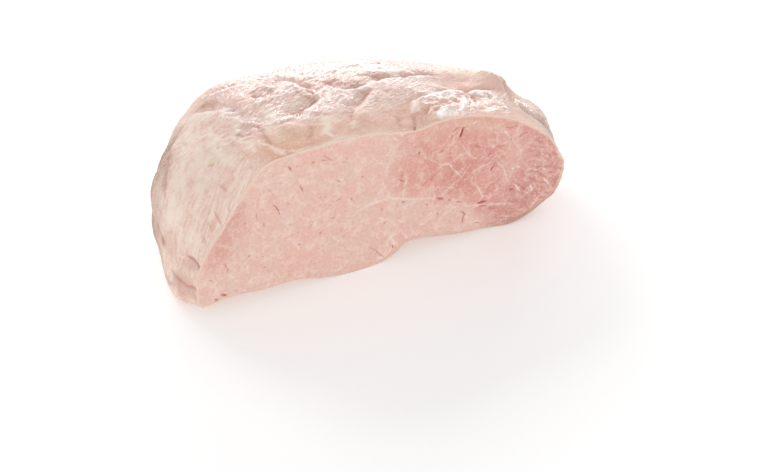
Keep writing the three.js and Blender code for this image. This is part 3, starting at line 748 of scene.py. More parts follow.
def cut_edge_samples():
    """Points round the cut's edge, closer together over the top than underneath."""
    curve = closed_curve(CUT_EDGE, CURVE_STEPS)
    curve = np.vstack([curve, curve[:1]])
    length = lengths_along(curve)
    tip = max(range(len(CUT_EDGE)), key=lambda index: CUT_EDGE[index][0])
    upper = np.linspace(0, length[tip * CURVE_STEPS], UPPER_SAMPLES, endpoint=False)
    under = np.linspace(length[tip * CURVE_STEPS], length[-1], UNDER_SAMPLES, endpoint=False)
    wanted = np.concatenate([upper, under])
    return np.stack([np.interp(wanted, length, curve[:, axis]) for axis in (0, 1)], axis=1)


def around_section(sides, across, up):
    """A value that changes smoothly round the section, from its four sides' values."""
    level = np.where(across < 0, sides["left"], sides["right"])
    upright = np.where(up < 0, sides["bottom"], sides["top"])
    return level * across**2 + upright * up**2


def plain_radius(across, up):
    """Distance from the axis to the plain section's edge in one direction."""
    side = np.where(across < 0, HALF["left"], HALF["right"])
    height = np.where(up < 0, HALF["bottom"], HALF["top"])
    top = np.where(across < 0, SQUARENESS["top left"], SQUARENESS["top right"])
    bottom = np.where(across < 0, SQUARENESS["bottom left"], SQUARENESS["bottom right"])
    power = np.where(up < 0, bottom, top)
    return (np.abs(across * FLATNESS / side) ** power + np.abs(up / height) ** power) ** (-1 / power)


def body_points(edge, y):
    """Points of the smooth body: one row for each y, from 0 at the cut to REACH at the end."""
    off_x = (edge[None, :, 0] - AXIS_X) / FLATNESS
    off_z = edge[None, :, 1] - AXIS_Z
    edge_radius = np.hypot(off_x, off_z)
    across, up = off_x / edge_radius, off_z / edge_radius
    y = y[:, None] * np.ones_like(across)
    depth = y / REACH
    bluntness = around_section(END_BLUNTNESS, across, up)
    roundness = around_section(END_ROUNDNESS, across, up)
    closing = np.clip(1 - depth**bluntness, 0, 1) ** (1 / roundness)
    radius = mix(edge_radius, plain_radius(across, up), smooth(0, BLEND, y)) * closing
    x = AXIS_X + END_DRIFT * depth**2 + radius * across * FLATNESS
    points = np.stack([x, y, AXIS_Z + radius * up], axis=-1)

    turn = smooth(END_TURN, 1, depth)
    outward = unit(np.stack([across * (1 - turn), turn, up * (1 - turn / 2)], axis=-1))
    points += outward * (swell(points, LOBES) * smooth(0, LOBE_START, y))[..., None]
    points[..., 2] = np.maximum(points[..., 2], 0)
    return points


def ring_depths():
    """Depths of the rings behind the cut, evenly spaced along the skin."""
    y = REACH * np.sin(np.linspace(0, math.pi / 2, PROFILE_STEPS))
    radius = np.clip(1 - (y / REACH) ** PROFILE_BLUNTNESS, 0, 1) ** 0.5 * PROFILE_RADIUS
    length = np.concatenate([[0], np.cumsum(np.hypot(np.diff(y), np.diff(radius)))])
    return np.interp(np.linspace(0, length[-1], RINGS, endpoint=False), length, y)


def grid_normals(rows):
    """Outward directions of a grid of rows that close on themselves."""
    round_section = np.roll(rows, -1, axis=1) - np.roll(rows, 1, axis=1)
    back = np.gradient(rows, axis=0)
    return unit(np.cross(round_section, back))


def line_distance(points, line, normals=None):
    """Distance to a line of points, its side (above 0 on the left) and the share along it.

    With normals, the distance is measured along the surface, and left is as seen from outside.
    """
    nearest = np.full(points.shape[:-1], np.inf)
    side = np.ones_like(nearest)
    share = np.zeros_like(nearest)
    corners = np.array(line, float)
    passed = lengths_along(corners)
    for index, length in enumerate(step_lengths(corners)):
        run = (corners[index + 1] - corners[index]) / length
        offset = points - corners[index]
        along = np.clip(offset @ run, 0, length)
        apart = offset - along[..., None] * run
        if normals is None:
            turned = run[0] * apart[..., 1] - run[1] * apart[..., 0]
            distance = np.linalg.norm(apart, axis=-1)
        else:
            sunk = (apart * normals).sum(-1)
            turned = (np.cross(run, apart) * normals).sum(-1)
            flat = np.linalg.norm(apart - sunk[..., None] * normals, axis=-1)
            distance = np.hypot(flat, OFF_SKIN_WEIGHT * np.maximum(np.abs(sunk) - OFF_SKIN_FREE, 0))
        closer = distance < nearest
        nearest = np.where(closer, distance, nearest)
        side = np.where(closer, np.sign(turned), side)
        share = np.where(closer, (passed[index] + along) / passed[-1], share)
    return nearest, side, share


def between_ends(share, taper):
    """1 along a line, fading to 0 over the taper at each end."""
    return smooth(0, taper, share) * smooth(0, taper, 1 - share)


def strokes(points, lines, normals=None):
    """How strongly the lines show at points, from 0 to 1."""
    shown = np.zeros(points.shape[:-1])
    for line, width, strength in lines:
        distance, _, share = line_distance(points, line, normals)
        tapered = width * (STROKE_TIP + (1 - STROKE_TIP) * between_ends(share, STROKE_TAPER))
        shown = np.maximum(shown, strength * np.exp(-((distance / tapered) ** 2)))
    return shown


def fold_relief(points, normals):
    """The folds: an uneven hollow that rises slowly on the left and steeply to a lip on the right.

    The second value is 1 along the bottom of the deepest folds, where their shade is painted.
    """
    relief = np.zeros(points.shape[:-1])
    crease_shade = np.zeros_like(relief)
    wavering = points + push(points, 8, (11, 12, 13)) * LINE_WAVER
    uneven = 1 + FOLD_UNEVEN * noise(points, 12, 14)
    for line, left, right, depth, lip, run_out in FOLDS:
        distance, side, share = line_distance(wavering, line, normals)
        inside = between_ends(share, FOLD_TAPER)
        reach = np.where(side > 0, left, right)
        hollow = np.exp(-((distance / reach) ** 2))
        raised = np.where(side > 0, 0, (1 - hollow) * np.exp(-distance / run_out))
        relief += inside * uneven * (lip * raised - depth * hollow)
        # Painted shade along the bottom of the fold.
        thin = np.exp(-((distance / CREASE_SHADE_WIDTH) ** 2)) * smooth(*CREASE_SHADE_DEPTHS, depth)
        crease_shade = np.maximum(crease_shade, inside * uneven * thin)
    return relief, np.clip(crease_shade, 0, 1)


def bent_noise(points, size, seed, bend):
    """Noise without its sign, 0 along lines that wander by a share of its size."""
    bending = push(points, size * 1.7, (seed + 1, seed + 2, seed + 3))
    return np.abs(noise(points + bending * size * bend, size, seed))


def creases(points, size, seed):
    """Rounded lumps with narrow creases between them, from -1 to about 0.4."""
    return np.minimum(bent_noise(points, size, seed, 0.5) * 2.4, 1) ** 0.75 - 0.7


def ridges(points, size, seed):
    """Narrow ridges with wide dips between them, from about -0.2 to 1."""
    return np.maximum(1 - bent_noise(points, size, seed, 0.4) * 3.0, 0) ** 1.5 - 0.15


# Wrinkles of the skin, crumples of the glossy patches and tears at the cut's right tip: their kind,
# height, size and seed. The last two also lift the skin as a whole.
COARSE_WRINKLES = [(creases, 0.5, 12, 31), (ridges, 0.4, 10, 35)]
FINE_WRINKLES = [(creases, 0.5, 5.5, 41), (ridges, 0.5, 4.2, 45)]
CRUMPLES, CRUMPLED_LIFT = [(noise, 0.6, 13, 65), (creases, 0.7, 8, 68), (creases, 0.6, 4, 66)], 0.3
TEARS, TORN_LIFT = [(creases, 3.2, 7, 75), (noise, 2.2, 4, 76)], 0.9


def layered(points, layers):
    """The layers of relief together."""
    return sum(height * kind(points, size, seed) for kind, height, size, seed in layers)


def turned_flat(x, y, degrees):
    """How far flat places lie along a turned direction, and across it."""
    turn = math.radians(degrees)
    return x * math.cos(turn) + y * math.sin(turn), -x * math.sin(turn) + y * math.cos(turn)


def stretched(points, degrees):
    """Points in a space where shapes seen from above are long in one direction."""
    x, y, z = np.moveaxis(points + WRINKLE_BEND * push(points, 70, (51, 52, 53)), -1, 0)
    along, across = turned_flat(x, y, degrees)
    return np.stack([along * WRINKLE_ALONG, across * WRINKLE_ACROSS, z], axis=-1)


def wrinkled(points, kind, size, seed):
    """Wrinkles that run front to back at the left of the top and mostly across it elsewhere."""
    at_left = kind(stretched(points, LEFT_WRINKLE_TURN), size, seed)
    elsewhere = kind(stretched(points, WRINKLE_TURN), size, seed)
    return mix(at_left, elsewhere, smooth(*LEFT_WRINKLE_END, points[..., 0]))


def flowing(y, around):
    """Flat places in a space where fibres run round the ham and a little to the back."""
    along, across = turned_flat(around, y, FIBRE_TURN)
    return np.stack([along * FIBRE_ALONG, across, np.zeros_like(y)], axis=-1)


def calm_share(points, effect):
    """1, less the effect in the middle of the calm places."""
    calm = np.ones(points.shape[:-1])
    for centre, reach in CALM_PLACES:
        calm *= 1 - effect * blob(points, centre, reach)
    return calm


def glossy_share(points, normals):
    """1 on the glossy patches and 0 outside them, with an uneven edge."""
    uneven = points + 3 * noise(points, 9, 71)[..., None]
    share = np.zeros(points.shape[:-1])
    for line, half_width in GLOSSY_PATCHES:
        distance = line_distance(uneven, line, normals)[0]
        fading = smooth(half_width - GLOSS_FADE, half_width + GLOSS_OVER, distance)
        share = np.maximum(share, 1 - fading)
    return share


def wet_share(points, normals):
    """1 where the top is moist enough to shine, 0 near the cut and on the sides."""
    x, y = points[..., 0], points[..., 1]
    top = smooth(*WET_LEVEL, normals[..., 2]) * smooth(*WET_LEFT_EDGE, x)
    start = mix(WET_START["left"], WET_START["right"], smooth(*WET_START_TURN, x))
    behind = smooth(start, start + WET_FADE, y + 8 * noise(points, 12, 73))
    return np.maximum(top * behind * calm_share(points, 0.5), glossy_share(points, normals))


def warm_share(points, normals):
    """1 on the duller, more orange skin along the top of the cut."""
    x = points[..., 0] + 10 * noise(points, 20, 74)
    y = points[..., 1] + 10 * noise(points, 14, 77)
    near = smooth(*WARM_DEPTH, y) * smooth(*WARM_LEVEL, normals[..., 2])
    strength = mix(0.6, 1, smooth(*WARM_MIDDLE, x))
    return near * smooth(*WARM_LEFT_EDGE, x) * strength * smooth(*WARM_RIGHT_EDGE, x)


def patch_relief(points, normals):
    """The lumps of the larger glossy patch above 0 and its crevices below."""
    wavering = points + push(points, 4, (78, 79, 80)) * LINE_WAVER
    return strokes(wavering, PATCH_LUMPS, normals) - strokes(wavering, PATCH_CREVICES, normals)


def lump_highlight_share(points, normals, relief):
    """1 on the whitest of the glossy lumps, where their highlight is painted."""
    raised = smooth(0.1, 1.0, patch_relief(points, normals) + 0.35 * noise(points, 3, 89))
    small = smooth(0.0, 1.4, relief) * blob(points, *SMALL_PATCH)
    return np.maximum(raised, small) * np.clip(0.8 + 0.6 * noise(points, 5, 90), 0, 1)


def crumpled_relief(points):
    """The crumpled skin of the glossy patches, without their larger lumps."""
    return layered(points, CRUMPLES) + CRUMPLED_LIFT


def skin_relief(points, normals, around):
    """The relief of the skin that is finer than the humps, apart from the folds."""
    top = smooth(0.0, 0.6, normals[..., 2])
    rough = mix(0.35, 1, top) * calm_share(points, 0.7) * (0.8 + 0.6 * noise(points, 40, 5))
    inner = mix(0.3, 1, smooth(*SMOOTH_RIM, points[..., 1] + 8 * noise(points, 12, 6)))
    rough *= inner
    relief = noise(points, 32, 21) + 0.5 * noise(points, 15, 22) * mix(0.5, 1, top) * inner
    for layer in (COARSE_WRINKLES, FINE_WRINKLES):
        wrinkles = [height * wrinkled(points, kind, size, seed) for kind, height, size, seed in layer]
        relief += rough * sum(wrinkles)
    fibres = creases(flowing(points[..., 1], around), 4, 55)
    relief += 0.2 * fibres * (1 - 0.7 * smooth(*FIBRES_END, points[..., 1]))
    relief = mix(relief, crumpled_relief(points), glossy_share(points, normals) * 0.9)
    return relief + patch_relief(points, normals)


def ragged_relief(points):
    """Torn skin round the right tip of the cut."""
    return blob(points, *RAGGED_TIP) * (layered(points, TEARS) + TORN_LIFT)


def crease_shade_share(points, normals, fold_bottom_shade):
    """1 where shade is painted: along the dark bottoms of the folds, the crevices and the thin dark lines.
    """
    crevices = [(line, 0.6 * width, 0.4 * depth) for line, width, depth in PATCH_CREVICES]
    drawn = strokes(points, CREASE_SHADE_LINES + crevices, normals)
    return np.maximum(fold_bottom_shade, drawn * np.clip(0.8 + 0.6 * noise(points, 5, 84), 0, 1))


def ham_skin(edge):
    """Rows of points of the finished skin, from the cut's edge to the last ring, and its fields."""
    rows = body_points(edge, ring_depths())
    normals = grid_normals(rows)
    normals[0, :, 1] = 0
    normals[0] = unit(normals[0])
    around = lengths_along(edge)[None, :] * np.ones_like(rows[..., 0])
    behind = smooth(*RELIEF_START, rows[..., 1])
    relief, fold_bottom_shade = fold_relief(rows, normals)
    relief += skin_relief(rows, normals, around) * behind
    steady = smooth(*STEADY_HEIGHT, rows[..., 2])
    steady *= mix(STEADY_SHARE, 1, smooth(*STEADY_DEPTH, rows[..., 1]))
    lift = (relief + swell(rows, HUMPS) * behind + ragged_relief(rows)) * steady
    finished = rows + normals * lift[..., None]
    finished[..., 2] = np.maximum(finished[..., 2], 0)
    fields = skin_fields(rows, normals, around, relief)
    fields["crease_shade"] = crease_shade_share(rows, normals, fold_bottom_shade)
    return finished, fields


def skin_fields(points, normals, around, relief):
    """What the skin's material reads at each point."""
    waver = push(points, 10, (81, 82, 83)) * 2.5
    lengthwise = flowing(points[..., 1] + waver[..., 0] * 0.6, around)
    fibres = 0.6 * noise(lengthwise, 5, 85) + 0.5 * noise(lengthwise, 2.4, 86)
    fields = {name: strokes(points + waver, lines, normals) for name, lines in SKIN_STREAKS.items()}
    fields["cream"] = np.clip(fields["cream"] * (0.85 + 0.4 * fibres), 0, 1)
    return fields | {
        "red": strokes(points + waver * 0.2, RED_MARKS, normals),
        "fibre": 0.5 + 0.5 * fibres,
        "warm": warm_share(points, normals),
        "gloss": glossy_share(points, normals),
        "wet": wet_share(points, normals),
        # Painted shade in the hollows of the relief, stronger on the top.
        "hollow": smooth(0.5, 3.5, -relief) * mix(0.3, 1, smooth(0.3, 0.7, normals[..., 2])),
        # Painted highlight on the raised places of the relief.
        "crest_highlight": smooth(0.0, 1.6, relief + 0.6 * noise(points, 5, 88)),
        # Painted highlight on the glossy lumps.
        "lumps": lump_highlight_share(points, normals, relief),
        # Painted shade on skin that faces back.
        "behind": smooth(0.3, 0.75, normals[..., 1]) * (0.75 + 0.5 * noise(points, 30, 95)),
    }


def inside_outline(points, outline):
    """Which points lie inside a closed outline."""
    x, z = points[:, 0, None], points[:, 1, None]
    x0, z0 = outline[None, :, 0], outline[None, :, 1]
    x1, z1 = np.roll(x0, -1, axis=1), np.roll(z0, -1, axis=1)
    crosses = (z0 > z) != (z1 > z)
    rise = np.where(crosses, z1 - z0, 1)
    return (crosses & (x < x0 + (z - z0) * (x1 - x0) / rise)).sum(1) % 2 == 1


def rim_distance(points, outline):
    """Distance of flat points from a closed outline."""
    return line_distance(points, np.vstack([outline, outline[:1]]))[0]


def line_mark_points(line, width):
    """Points in rows beside a line of the cut."""
    points = []
    corners = np.array(line, float)
    for start, stop in zip(corners[:-1], corners[1:]):
        length = np.linalg.norm(stop - start)
        along = (stop - start) / length
        aside = np.array([-along[1], along[0]])
        for share in np.arange(0.5, max(1, length / MARK_SPACING)) * MARK_SPACING / length:
            for offset in MARK_ROWS:
                points.append(start + share * (stop - start) + offset * width * aside)
    return points


def dot_mark_points(x, z, radius):
    """A dot's middle, and two rings of points round it."""
    points = [(x, z)]
    for step in range(DOT_STEPS):
        turn = math.radians(360 * step / DOT_STEPS)
        for ring in DOT_RINGS:
            points.append((x + ring * radius * math.cos(turn), z + ring * radius * math.sin(turn)))
    return points


def mark_points():
    """Extra points beside the marks of the cut, so that they are finely drawn."""
    points = []
    for line, width, _ in CUT_LINES:
        points.extend(line_mark_points(line, width))
    for x, z, radius, _ in CUT_DOTS:
        points.extend(dot_mark_points(x, z, radius))
    return np.array(points)


def spread(points):
    """The points without those that fall in the same small square as another."""
    _, kept = np.unique(np.floor(points / MARK_GAP).astype(int), axis=0, return_index=True)
    return points[np.sort(kept)]


def inner_points(points, outline, clearance):
    """The points that lie inside an outline, further from it than the clearance."""
    points = points[inside_outline(points, outline)]
    return points[rim_distance(points, outline) > clearance]


def plain_points(outline):
    """Evenly spaced points over the whole cut, left out beside its lines."""
    low, high = outline.min(0), outline.max(0)
    row_step = CUT_SPACING * math.sqrt(3) / 2
    x, z = np.meshgrid(np.arange(low[0], high[0], CUT_SPACING), np.arange(low[1], high[1], row_step))
    x = x + CUT_SPACING / 2 * (np.arange(len(x))[:, None] % 2)
    grid = np.stack([x.ravel(), z.ravel()], axis=1)
    for line, width, _ in CUT_LINES:
        clearance = LINE_CLEARANCE * width + LINE_MARGIN
        grid = grid[line_distance(grid, line)[0] > clearance]
    return grid


def cut_face(outline):
    """Points and triangles of the flat cut face. The first points are the outline's own."""
    inward = unit(np.roll(outline, 1, axis=0) - np.roll(outline, -1, axis=0))
    inward = np.stack([-inward[:, 1], inward[:, 0]], axis=1)
    rims = np.vstack([outline + inward * depth for depth in RIM_DEPTHS])
    rim = inner_points(spread(rims), outline, RIM_CLEARANCE)
    inner = np.vstack([spread(mark_points()), plain_points(outline)])
    inner = inner_points(inner, outline, RIM_DEPTHS[-1] + INNER_CLEARANCE)
    points = np.vstack([outline, rim, inner])
    ring = np.arange(len(outline))
    edges = np.stack([ring, np.roll(ring, -1)], axis=1).tolist()
    places = [Vector(point) for point in points]
    made = geometry.delaunay_2d_cdt(places, edges, [], TRIANGLES_INSIDE, MERGE_DISTANCE, True)
    # The outline's points have to come first and in order, as the skin's first row has the same ones.
    assert all(index in made[3][index] for index in ring)
    flat, triangles = np.array([tuple(point) for point in made[0]]), np.array(made[2])
    return flat, triangles[inside_outline(flat[triangles].mean(1), outline)]


def ham_mesh():
    """The ham in its making frame: its points, the skin's squares, and the triangles that close it.

    The last three values are how many of the triangles close the end rather than the cut, how many
    points the cut's edge has, and the skin's fields.
    """
    edge = cut_edge_samples()
    skin, fields = ham_skin(edge)
    rings, count, _ = skin.shape
    flat, cut = cut_face(skin[0][:, (0, 2)])
    end = body_points(edge[:1], np.array([REACH]))[0]
    inner = np.stack([flat[count:, 0], np.zeros(len(flat) - count), flat[count:, 1]], axis=1)
    points = np.vstack([skin.reshape(-1, 3), end, inner])

    here = np.arange(rings * count).reshape(rings, count)
    beside = np.roll(here, -1, axis=1)
    quads = np.stack([here[:-1], beside[:-1], beside[1:], here[1:]], axis=-1).reshape(-1, 4)
    end_index = rings * count
    tip = np.stack([here[-1], beside[-1], np.full(count, end_index)], axis=-1)
    a, b, c = (flat[cut[:, corner]] for corner in range(3))
    turned = (b[:, 0] - a[:, 0]) * (c[:, 1] - a[:, 1]) < (b[:, 1] - a[:, 1]) * (c[:, 0] - a[:, 0])
    cut[turned] = cut[turned][:, ::-1]
    cut = np.where(cut < count, cut, cut + end_index + 1 - count)
    return points, quads, np.vstack([tip, cut]), len(tip), count, fields


def seam_height(x):
    """Height of the pale seam that the darker muscle lies on."""
    seam = np.array(CUT_VEINS[0][0] + CUT_VEINS[1][0][1:], float)
    return np.interp(x, seam[:, 0], seam[:, 1])


def muscle_share(points, waver):
    """1 on the darker muscle at the right of the cut."""
    x, z = points[:, 0], points[:, 2]
    border = np.interp(z, MUSCLE_BORDER["z"], MUSCLE_BORDER["x"])
    beyond = smooth(-12, 12, x + waver * 0.6 - border)
    return beyond * smooth(-6, 8, z + waver * 0.5 - seam_height(x))


def torn_share(points, waver):
    """1 at the right end of the cut, where the meat is torn."""
    x, z = points[:, 0], points[:, 2]
    below = np.maximum(TORN_MIDDLE[0] - z, 0) * TORN_LEAN
    above = np.maximum(z - TORN_MIDDLE[1], 0) * TORN_LEAN
    return smooth(*TORN_START, x + waver * 1.6 + below - above)


def dot_share(flat):
    """How strongly the dots of the cut show at flat points."""
    shown = np.zeros(len(flat))
    for x, z, radius, strength in CUT_DOTS:
        apart = np.hypot(flat[:, 0] - x, flat[:, 1] - z)
        shown = np.maximum(shown, strength * np.exp(-((apart / radius) ** 2)))
    return shown


def crust_share(flat, rim):
    """The dark dry edge under the right end of the cut, wider near the floor."""
    low = blob(flat, *CRUST_FOOT)
    near_end = smooth(*CRUST_START, flat[:, 0]) * smooth(*CRUST_TOP, flat[:, 1])
    return 0.9 * near_end * smooth(1.2 + 3.4 * low, 0.2, rim) * mix(0.6, 1, low)


def cut_fields(points, outline):
    """What the cut's material reads at each point of the cut face."""
    flat = points[:, (0, 2)]
    x, z = flat[:, 0], flat[:, 1]
    waver = 5 * noise(points, 26, 61) + 2 * noise(points, 9, 62)
    moved = flat + waver[:, None] * 0.5
    jagged = flat + 0.5 * push(points, 3, (64, 65))
    under = smooth(-3, 3, UNDER_TOP - z) * smooth(*UNDER_LEFT_EDGE, x)
    rim = rim_distance(flat, outline)
    broken = 0.8 + 0.45 * noise(points, 4, 63)
    return {
        "muscle": muscle_share(points, waver),
        "deeper": strokes(moved, CUT_ROSY),
        "paler": strokes(moved, CUT_PALE),
        "end": torn_share(points, waver),
        "vein": np.clip(strokes(jagged, CUT_VEINS) * broken, 0, 1),
        "fleck_and_glint": strokes(jagged, CUT_FLECKS_AND_GLINTS),
        "slit": np.clip(np.maximum(1.25 * strokes(jagged, CUT_SLITS), dot_share(flat)), 0, 1),
        "rim": rim,
        "under": smooth(*UNDER_LINE_START, x) * under,
        "upper": 1 - 0.8 * under,
        "crust": crust_share(flat, rim + 0.8 * noise(points, 4, 66)),
    }


def cut_relief(points, values):
    """How far the cut face lies behind its plane: open slits, torn meat at the right end."""
    torn = values["end"] * smooth(*TORN_RIM, values["rim"])
    depth = MEAT_SUNK + MEAT_UNEVEN * noise(points, 14, 91) + SLIT_DEPTH * values["slit"]
    depth += torn * (0.8 * np.abs(noise(points, 6, 92)) + 0.35 * noise(points, 3, 93) + 0.15)
    return np.maximum(depth, 0) * smooth(*CUT_RIM, values["rim"])


def place_in_frame(points):
    """Moves points from the making frame to where the solid lies, in metres."""
    low, high = (np.array(corner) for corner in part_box("cooked_ham"))
    moved = points * METRES
    middle = (moved.min(0) + moved.max(0)) / 2
    moved[:, 0] += (low[0] + high[0]) / 2 - middle[0]
    moved[:, 1] += low[1] - moved[:, 1].min()
    return moved


def add_field(mesh, name, places, values):
    """A number at some of the mesh's points, and 0 at the others."""
    whole = np.zeros(len(mesh.vertices))
    whole[places] = values
    mesh.attributes.new(name, "FLOAT", "POINT").data.foreach_set("value", whole)


def sharpen_cut_edge(mesh, count):
    """Keeps a crisp edge where the skin meets the cut face."""
    ends = np.empty(2 * len(mesh.edges), np.int32)
    mesh.edges.foreach_get("vertices", ends)
    first, second = np.sort(ends.reshape(-1, 2), axis=1).T
    on_edge = (second < count) & ((second - first == 1) | (second - first == count - 1))
    mesh.edges.foreach_set("use_edge_sharp", on_edge)


def make_ham():
    """The ham as one closed mesh, with the skin's and the cut's materials."""
    points, quads, triangles, tips, count, skin_values = ham_mesh()
    outline = points[:count][:, (0, 2)]
    cut_points = np.concatenate([np.arange(count), np.arange(count * RINGS + 1, len(points))])
    cut_values = cut_fields(points[cut_points], outline)
    inner = cut_points >= count
    points[cut_points[inner], 1] += cut_relief(points[cut_points], cut_values)[inner]
    mesh = bpy.data.meshes.new("ham")
    faces = quads.tolist() + triangles.tolist()
    mesh.from_pydata(place_in_frame(points).tolist(), [], faces)
    mesh.materials.append(skin_material())
    mesh.materials.append(cut_material())
    on_cut = np.arange(len(faces)) >= len(quads) + tips
    mesh.polygons.foreach_set("material_index", on_cut.astype(np.int32))
    mesh.polygons.foreach_set("use_smooth", np.ones(len(faces), bool))
    for name, values in skin_values.items():
        add_field(mesh, name, np.arange(values.size), values.ravel())
    for name, values in cut_values.items():
        add_field(mesh, name, cut_points, values)
    sharpen_cut_edge(mesh, count)
    mesh.validate()
    ham = bpy.data.objects.new("cooked_ham_meat", mesh)
    bpy.context.collection.objects.link(ham)
    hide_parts("cooked_ham")
    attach(ham, "root")


def linear(colour):
    """A colour written as six hex digits, in the linear values that shaders take."""
    parts = [int(colour[index : index + 2], 16) / 255 for index in (0, 2, 4)]
    spread_out = [part / 12.92 if part <= 0.04045 else ((part + 0.055) / 1.055) ** 2.4 for part in parts]
    return (*spread_out, 1.0)


class Shader:
    """Builds a material's nodes, each by one call that takes values or other nodes' outputs."""

    def __init__(self, name):
        self.material = bpy.data.materials.new(name)
        self.material.use_nodes = True
        self.tree = self.material.node_tree
        self.surface = self.tree.nodes["Principled BSDF"]

    def node(self, kind, inputs, **settings):
        """A new node, with its settings and with values or links for its inputs."""
        made = self.tree.nodes.new(kind)
        for name, value in settings.items():
            setattr(made, name, value)
        for name, value in inputs.items():
            self.connect(made.inputs[name], value)
        return made

    def connect(self, socket, value):
        """Links another node's output to a socket, or sets a plain value on it."""
        if isinstance(value, bpy.types.NodeSocket):
            self.tree.links.new(value, socket)
        else:
            socket.default_value = value

    def field(self, name):
        """A field of the mesh."""
        return self.node("ShaderNodeAttribute", {}, attribute_name=name).outputs["Fac"]

    def place(self):
        """The place on the object, in metres."""
        return self.node("ShaderNodeTexCoord", {}).outputs["Object"]

    def math(self, operation, *values):
        """The result of an operation on values or other nodes' outputs."""
        return self.node("ShaderNodeMath", dict(enumerate(values)), operation=operation).outputs[0]

    def times(self, first, second):
        """The product of two values."""
        return self.math("MULTIPLY", first, second)

    def ramp(self, value, low, high, start=0.0, stop=1.0):
        """From start to stop, with an even turn, as the value goes from low to high."""
        inputs = {"Value": value, "From Min": low, "From Max": high, "To Min": start, "To Max": stop}
        made = self.node("ShaderNodeMapRange", inputs, interpolation_type="SMOOTHSTEP")
        return made.outputs["Result"]

    def mix(self, share, first, second):
        """The first colour where the share is 0 and the second where it is 1."""
        first, second = (linear(part) if isinstance(part, str) else part for part in (first, second))
        # The node has sockets for numbers and vectors too. 6 and 7 are the two for colours.
        inputs = {0: share, 6: first, 7: second}
        return self.node("ShaderNodeMix", inputs, data_type="RGBA").outputs[2]

    def wash(self, colour, value, low, high, strength, shade):
        """The colour under a shade that comes in as the value goes from low to high."""
        return self.mix(self.ramp(value, low, high, 0, strength), colour, shade)

    def paint(self, colour, coats):
        """The colour under shades, each with the field that says where it is and its strength."""
        for field, strength, shade in coats:
            colour = self.mix(self.times(self.field(field), strength), colour, shade)
        return colour

    def stretch(self, vector, lengths, turn):
        """Turned places in which shapes come out longer or shorter along each axis."""
        inputs = {"Vector": vector, "Scale": lengths, "Rotation": turn}
        return self.node("ShaderNodeMapping", inputs, vector_type="TEXTURE").outputs["Vector"]

    def noise(self, vector, size, detail=2.0):
        """Noise whose lumps are about as wide as size, in millimetres."""
        inputs = {"Vector": vector, "Scale": 1 / (size * METRES), "Detail": detail}
        return self.node("ShaderNodeTexNoise", inputs).outputs["Fac"]

    def warped(self, vector, size, amount):
        """The vector pushed about by noise, by up to about the amount, in millimetres."""
        inputs = {"Vector": vector, "Scale": 1 / (size * METRES), "Detail": 2.0}
        wander = self.node("ShaderNodeTexNoise", inputs).outputs["Color"]
        inputs = {0: wander, 1: (0.5, 0.5, 0.5)}
        centred = self.node("ShaderNodeVectorMath", inputs, operation="SUBTRACT").outputs[0]
        inputs = {0: centred, 1: (2 * amount * METRES,) * 3, 2: vector}
        return self.node("ShaderNodeVectorMath", inputs, operation="MULTIPLY_ADD").outputs[0]

    def cells(self, vector, size, feature):
        """Cells about as wide as size, in millimetres."""
        inputs = {"Vector": vector, "Scale": 1 / (size * METRES)}
        return self.node("ShaderNodeTexVoronoi", inputs, feature=feature)

    def web(self, vector, size, width):
        """Thin lines between cells, 1 on a line and 0 inside a cell, with a width in cells."""
        edge = self.cells(vector, size, "DISTANCE_TO_EDGE").outputs["Distance"]
        return self.ramp(edge, 0.0, width, 1.0, 0.0)

    def bump(self, height, depth, strength, normal=None):
        """A bump whose full height is depth, in millimetres."""
        inputs = {"Height": height, "Distance": depth * METRES, "Strength": strength}
        if normal:
            inputs["Normal"] = normal
        return self.node("ShaderNodeBump", inputs).outputs["Normal"]

    def finish(self, inputs):
        """The material, once its surface has its values and links."""
        for name, value in inputs.items():
            self.connect(self.surface.inputs[name], value)
        return self.material


def skin_meat(shader, place, mottled):
    """The meat of the skin, with its pale and dark fibres, moist places and fat, and painted shade on its
    back, its far left end and along its folds.
    """
    broad = shader.noise(shader.warped(place, 30, 6), 34, 3)
    colour = shader.mix(shader.ramp(broad, 0.35, 0.65), *SKIN_GROUND)
    fibre = shader.field("fibre")
    colour = shader.wash(colour, fibre, 0.45, 0.8, 0.6, PALE_FIBRE)
    colour = shader.wash(colour, fibre, 0.5, 0.2, 0.5, DARK_FIBRE)
    fine = shader.stretch(shader.warped(place, 12, 3), (1.0, 1.2, 7.0), (-0.25, 0.55, 0))
    threads = shader.noise(fine, 1.8, 3)
    colour = shader.wash(colour, threads, 0.5, 0.68, 0.55, PALE_THREAD)
    colour = shader.wash(colour, threads, 0.48, 0.32, 0.45, DARK_THREAD)
    colour = shader.paint(colour, MOIST_COATS)
    colour = shader.wash(colour, mottled, 0.5, 0.75, 0.4, MOTTLE)
    # Coats of painted shade, on skin facing back, on the far left end and along folds, then cream fat and
    # the glossy patches' tone.
    return shader.paint(colour, SKIN_COATS)


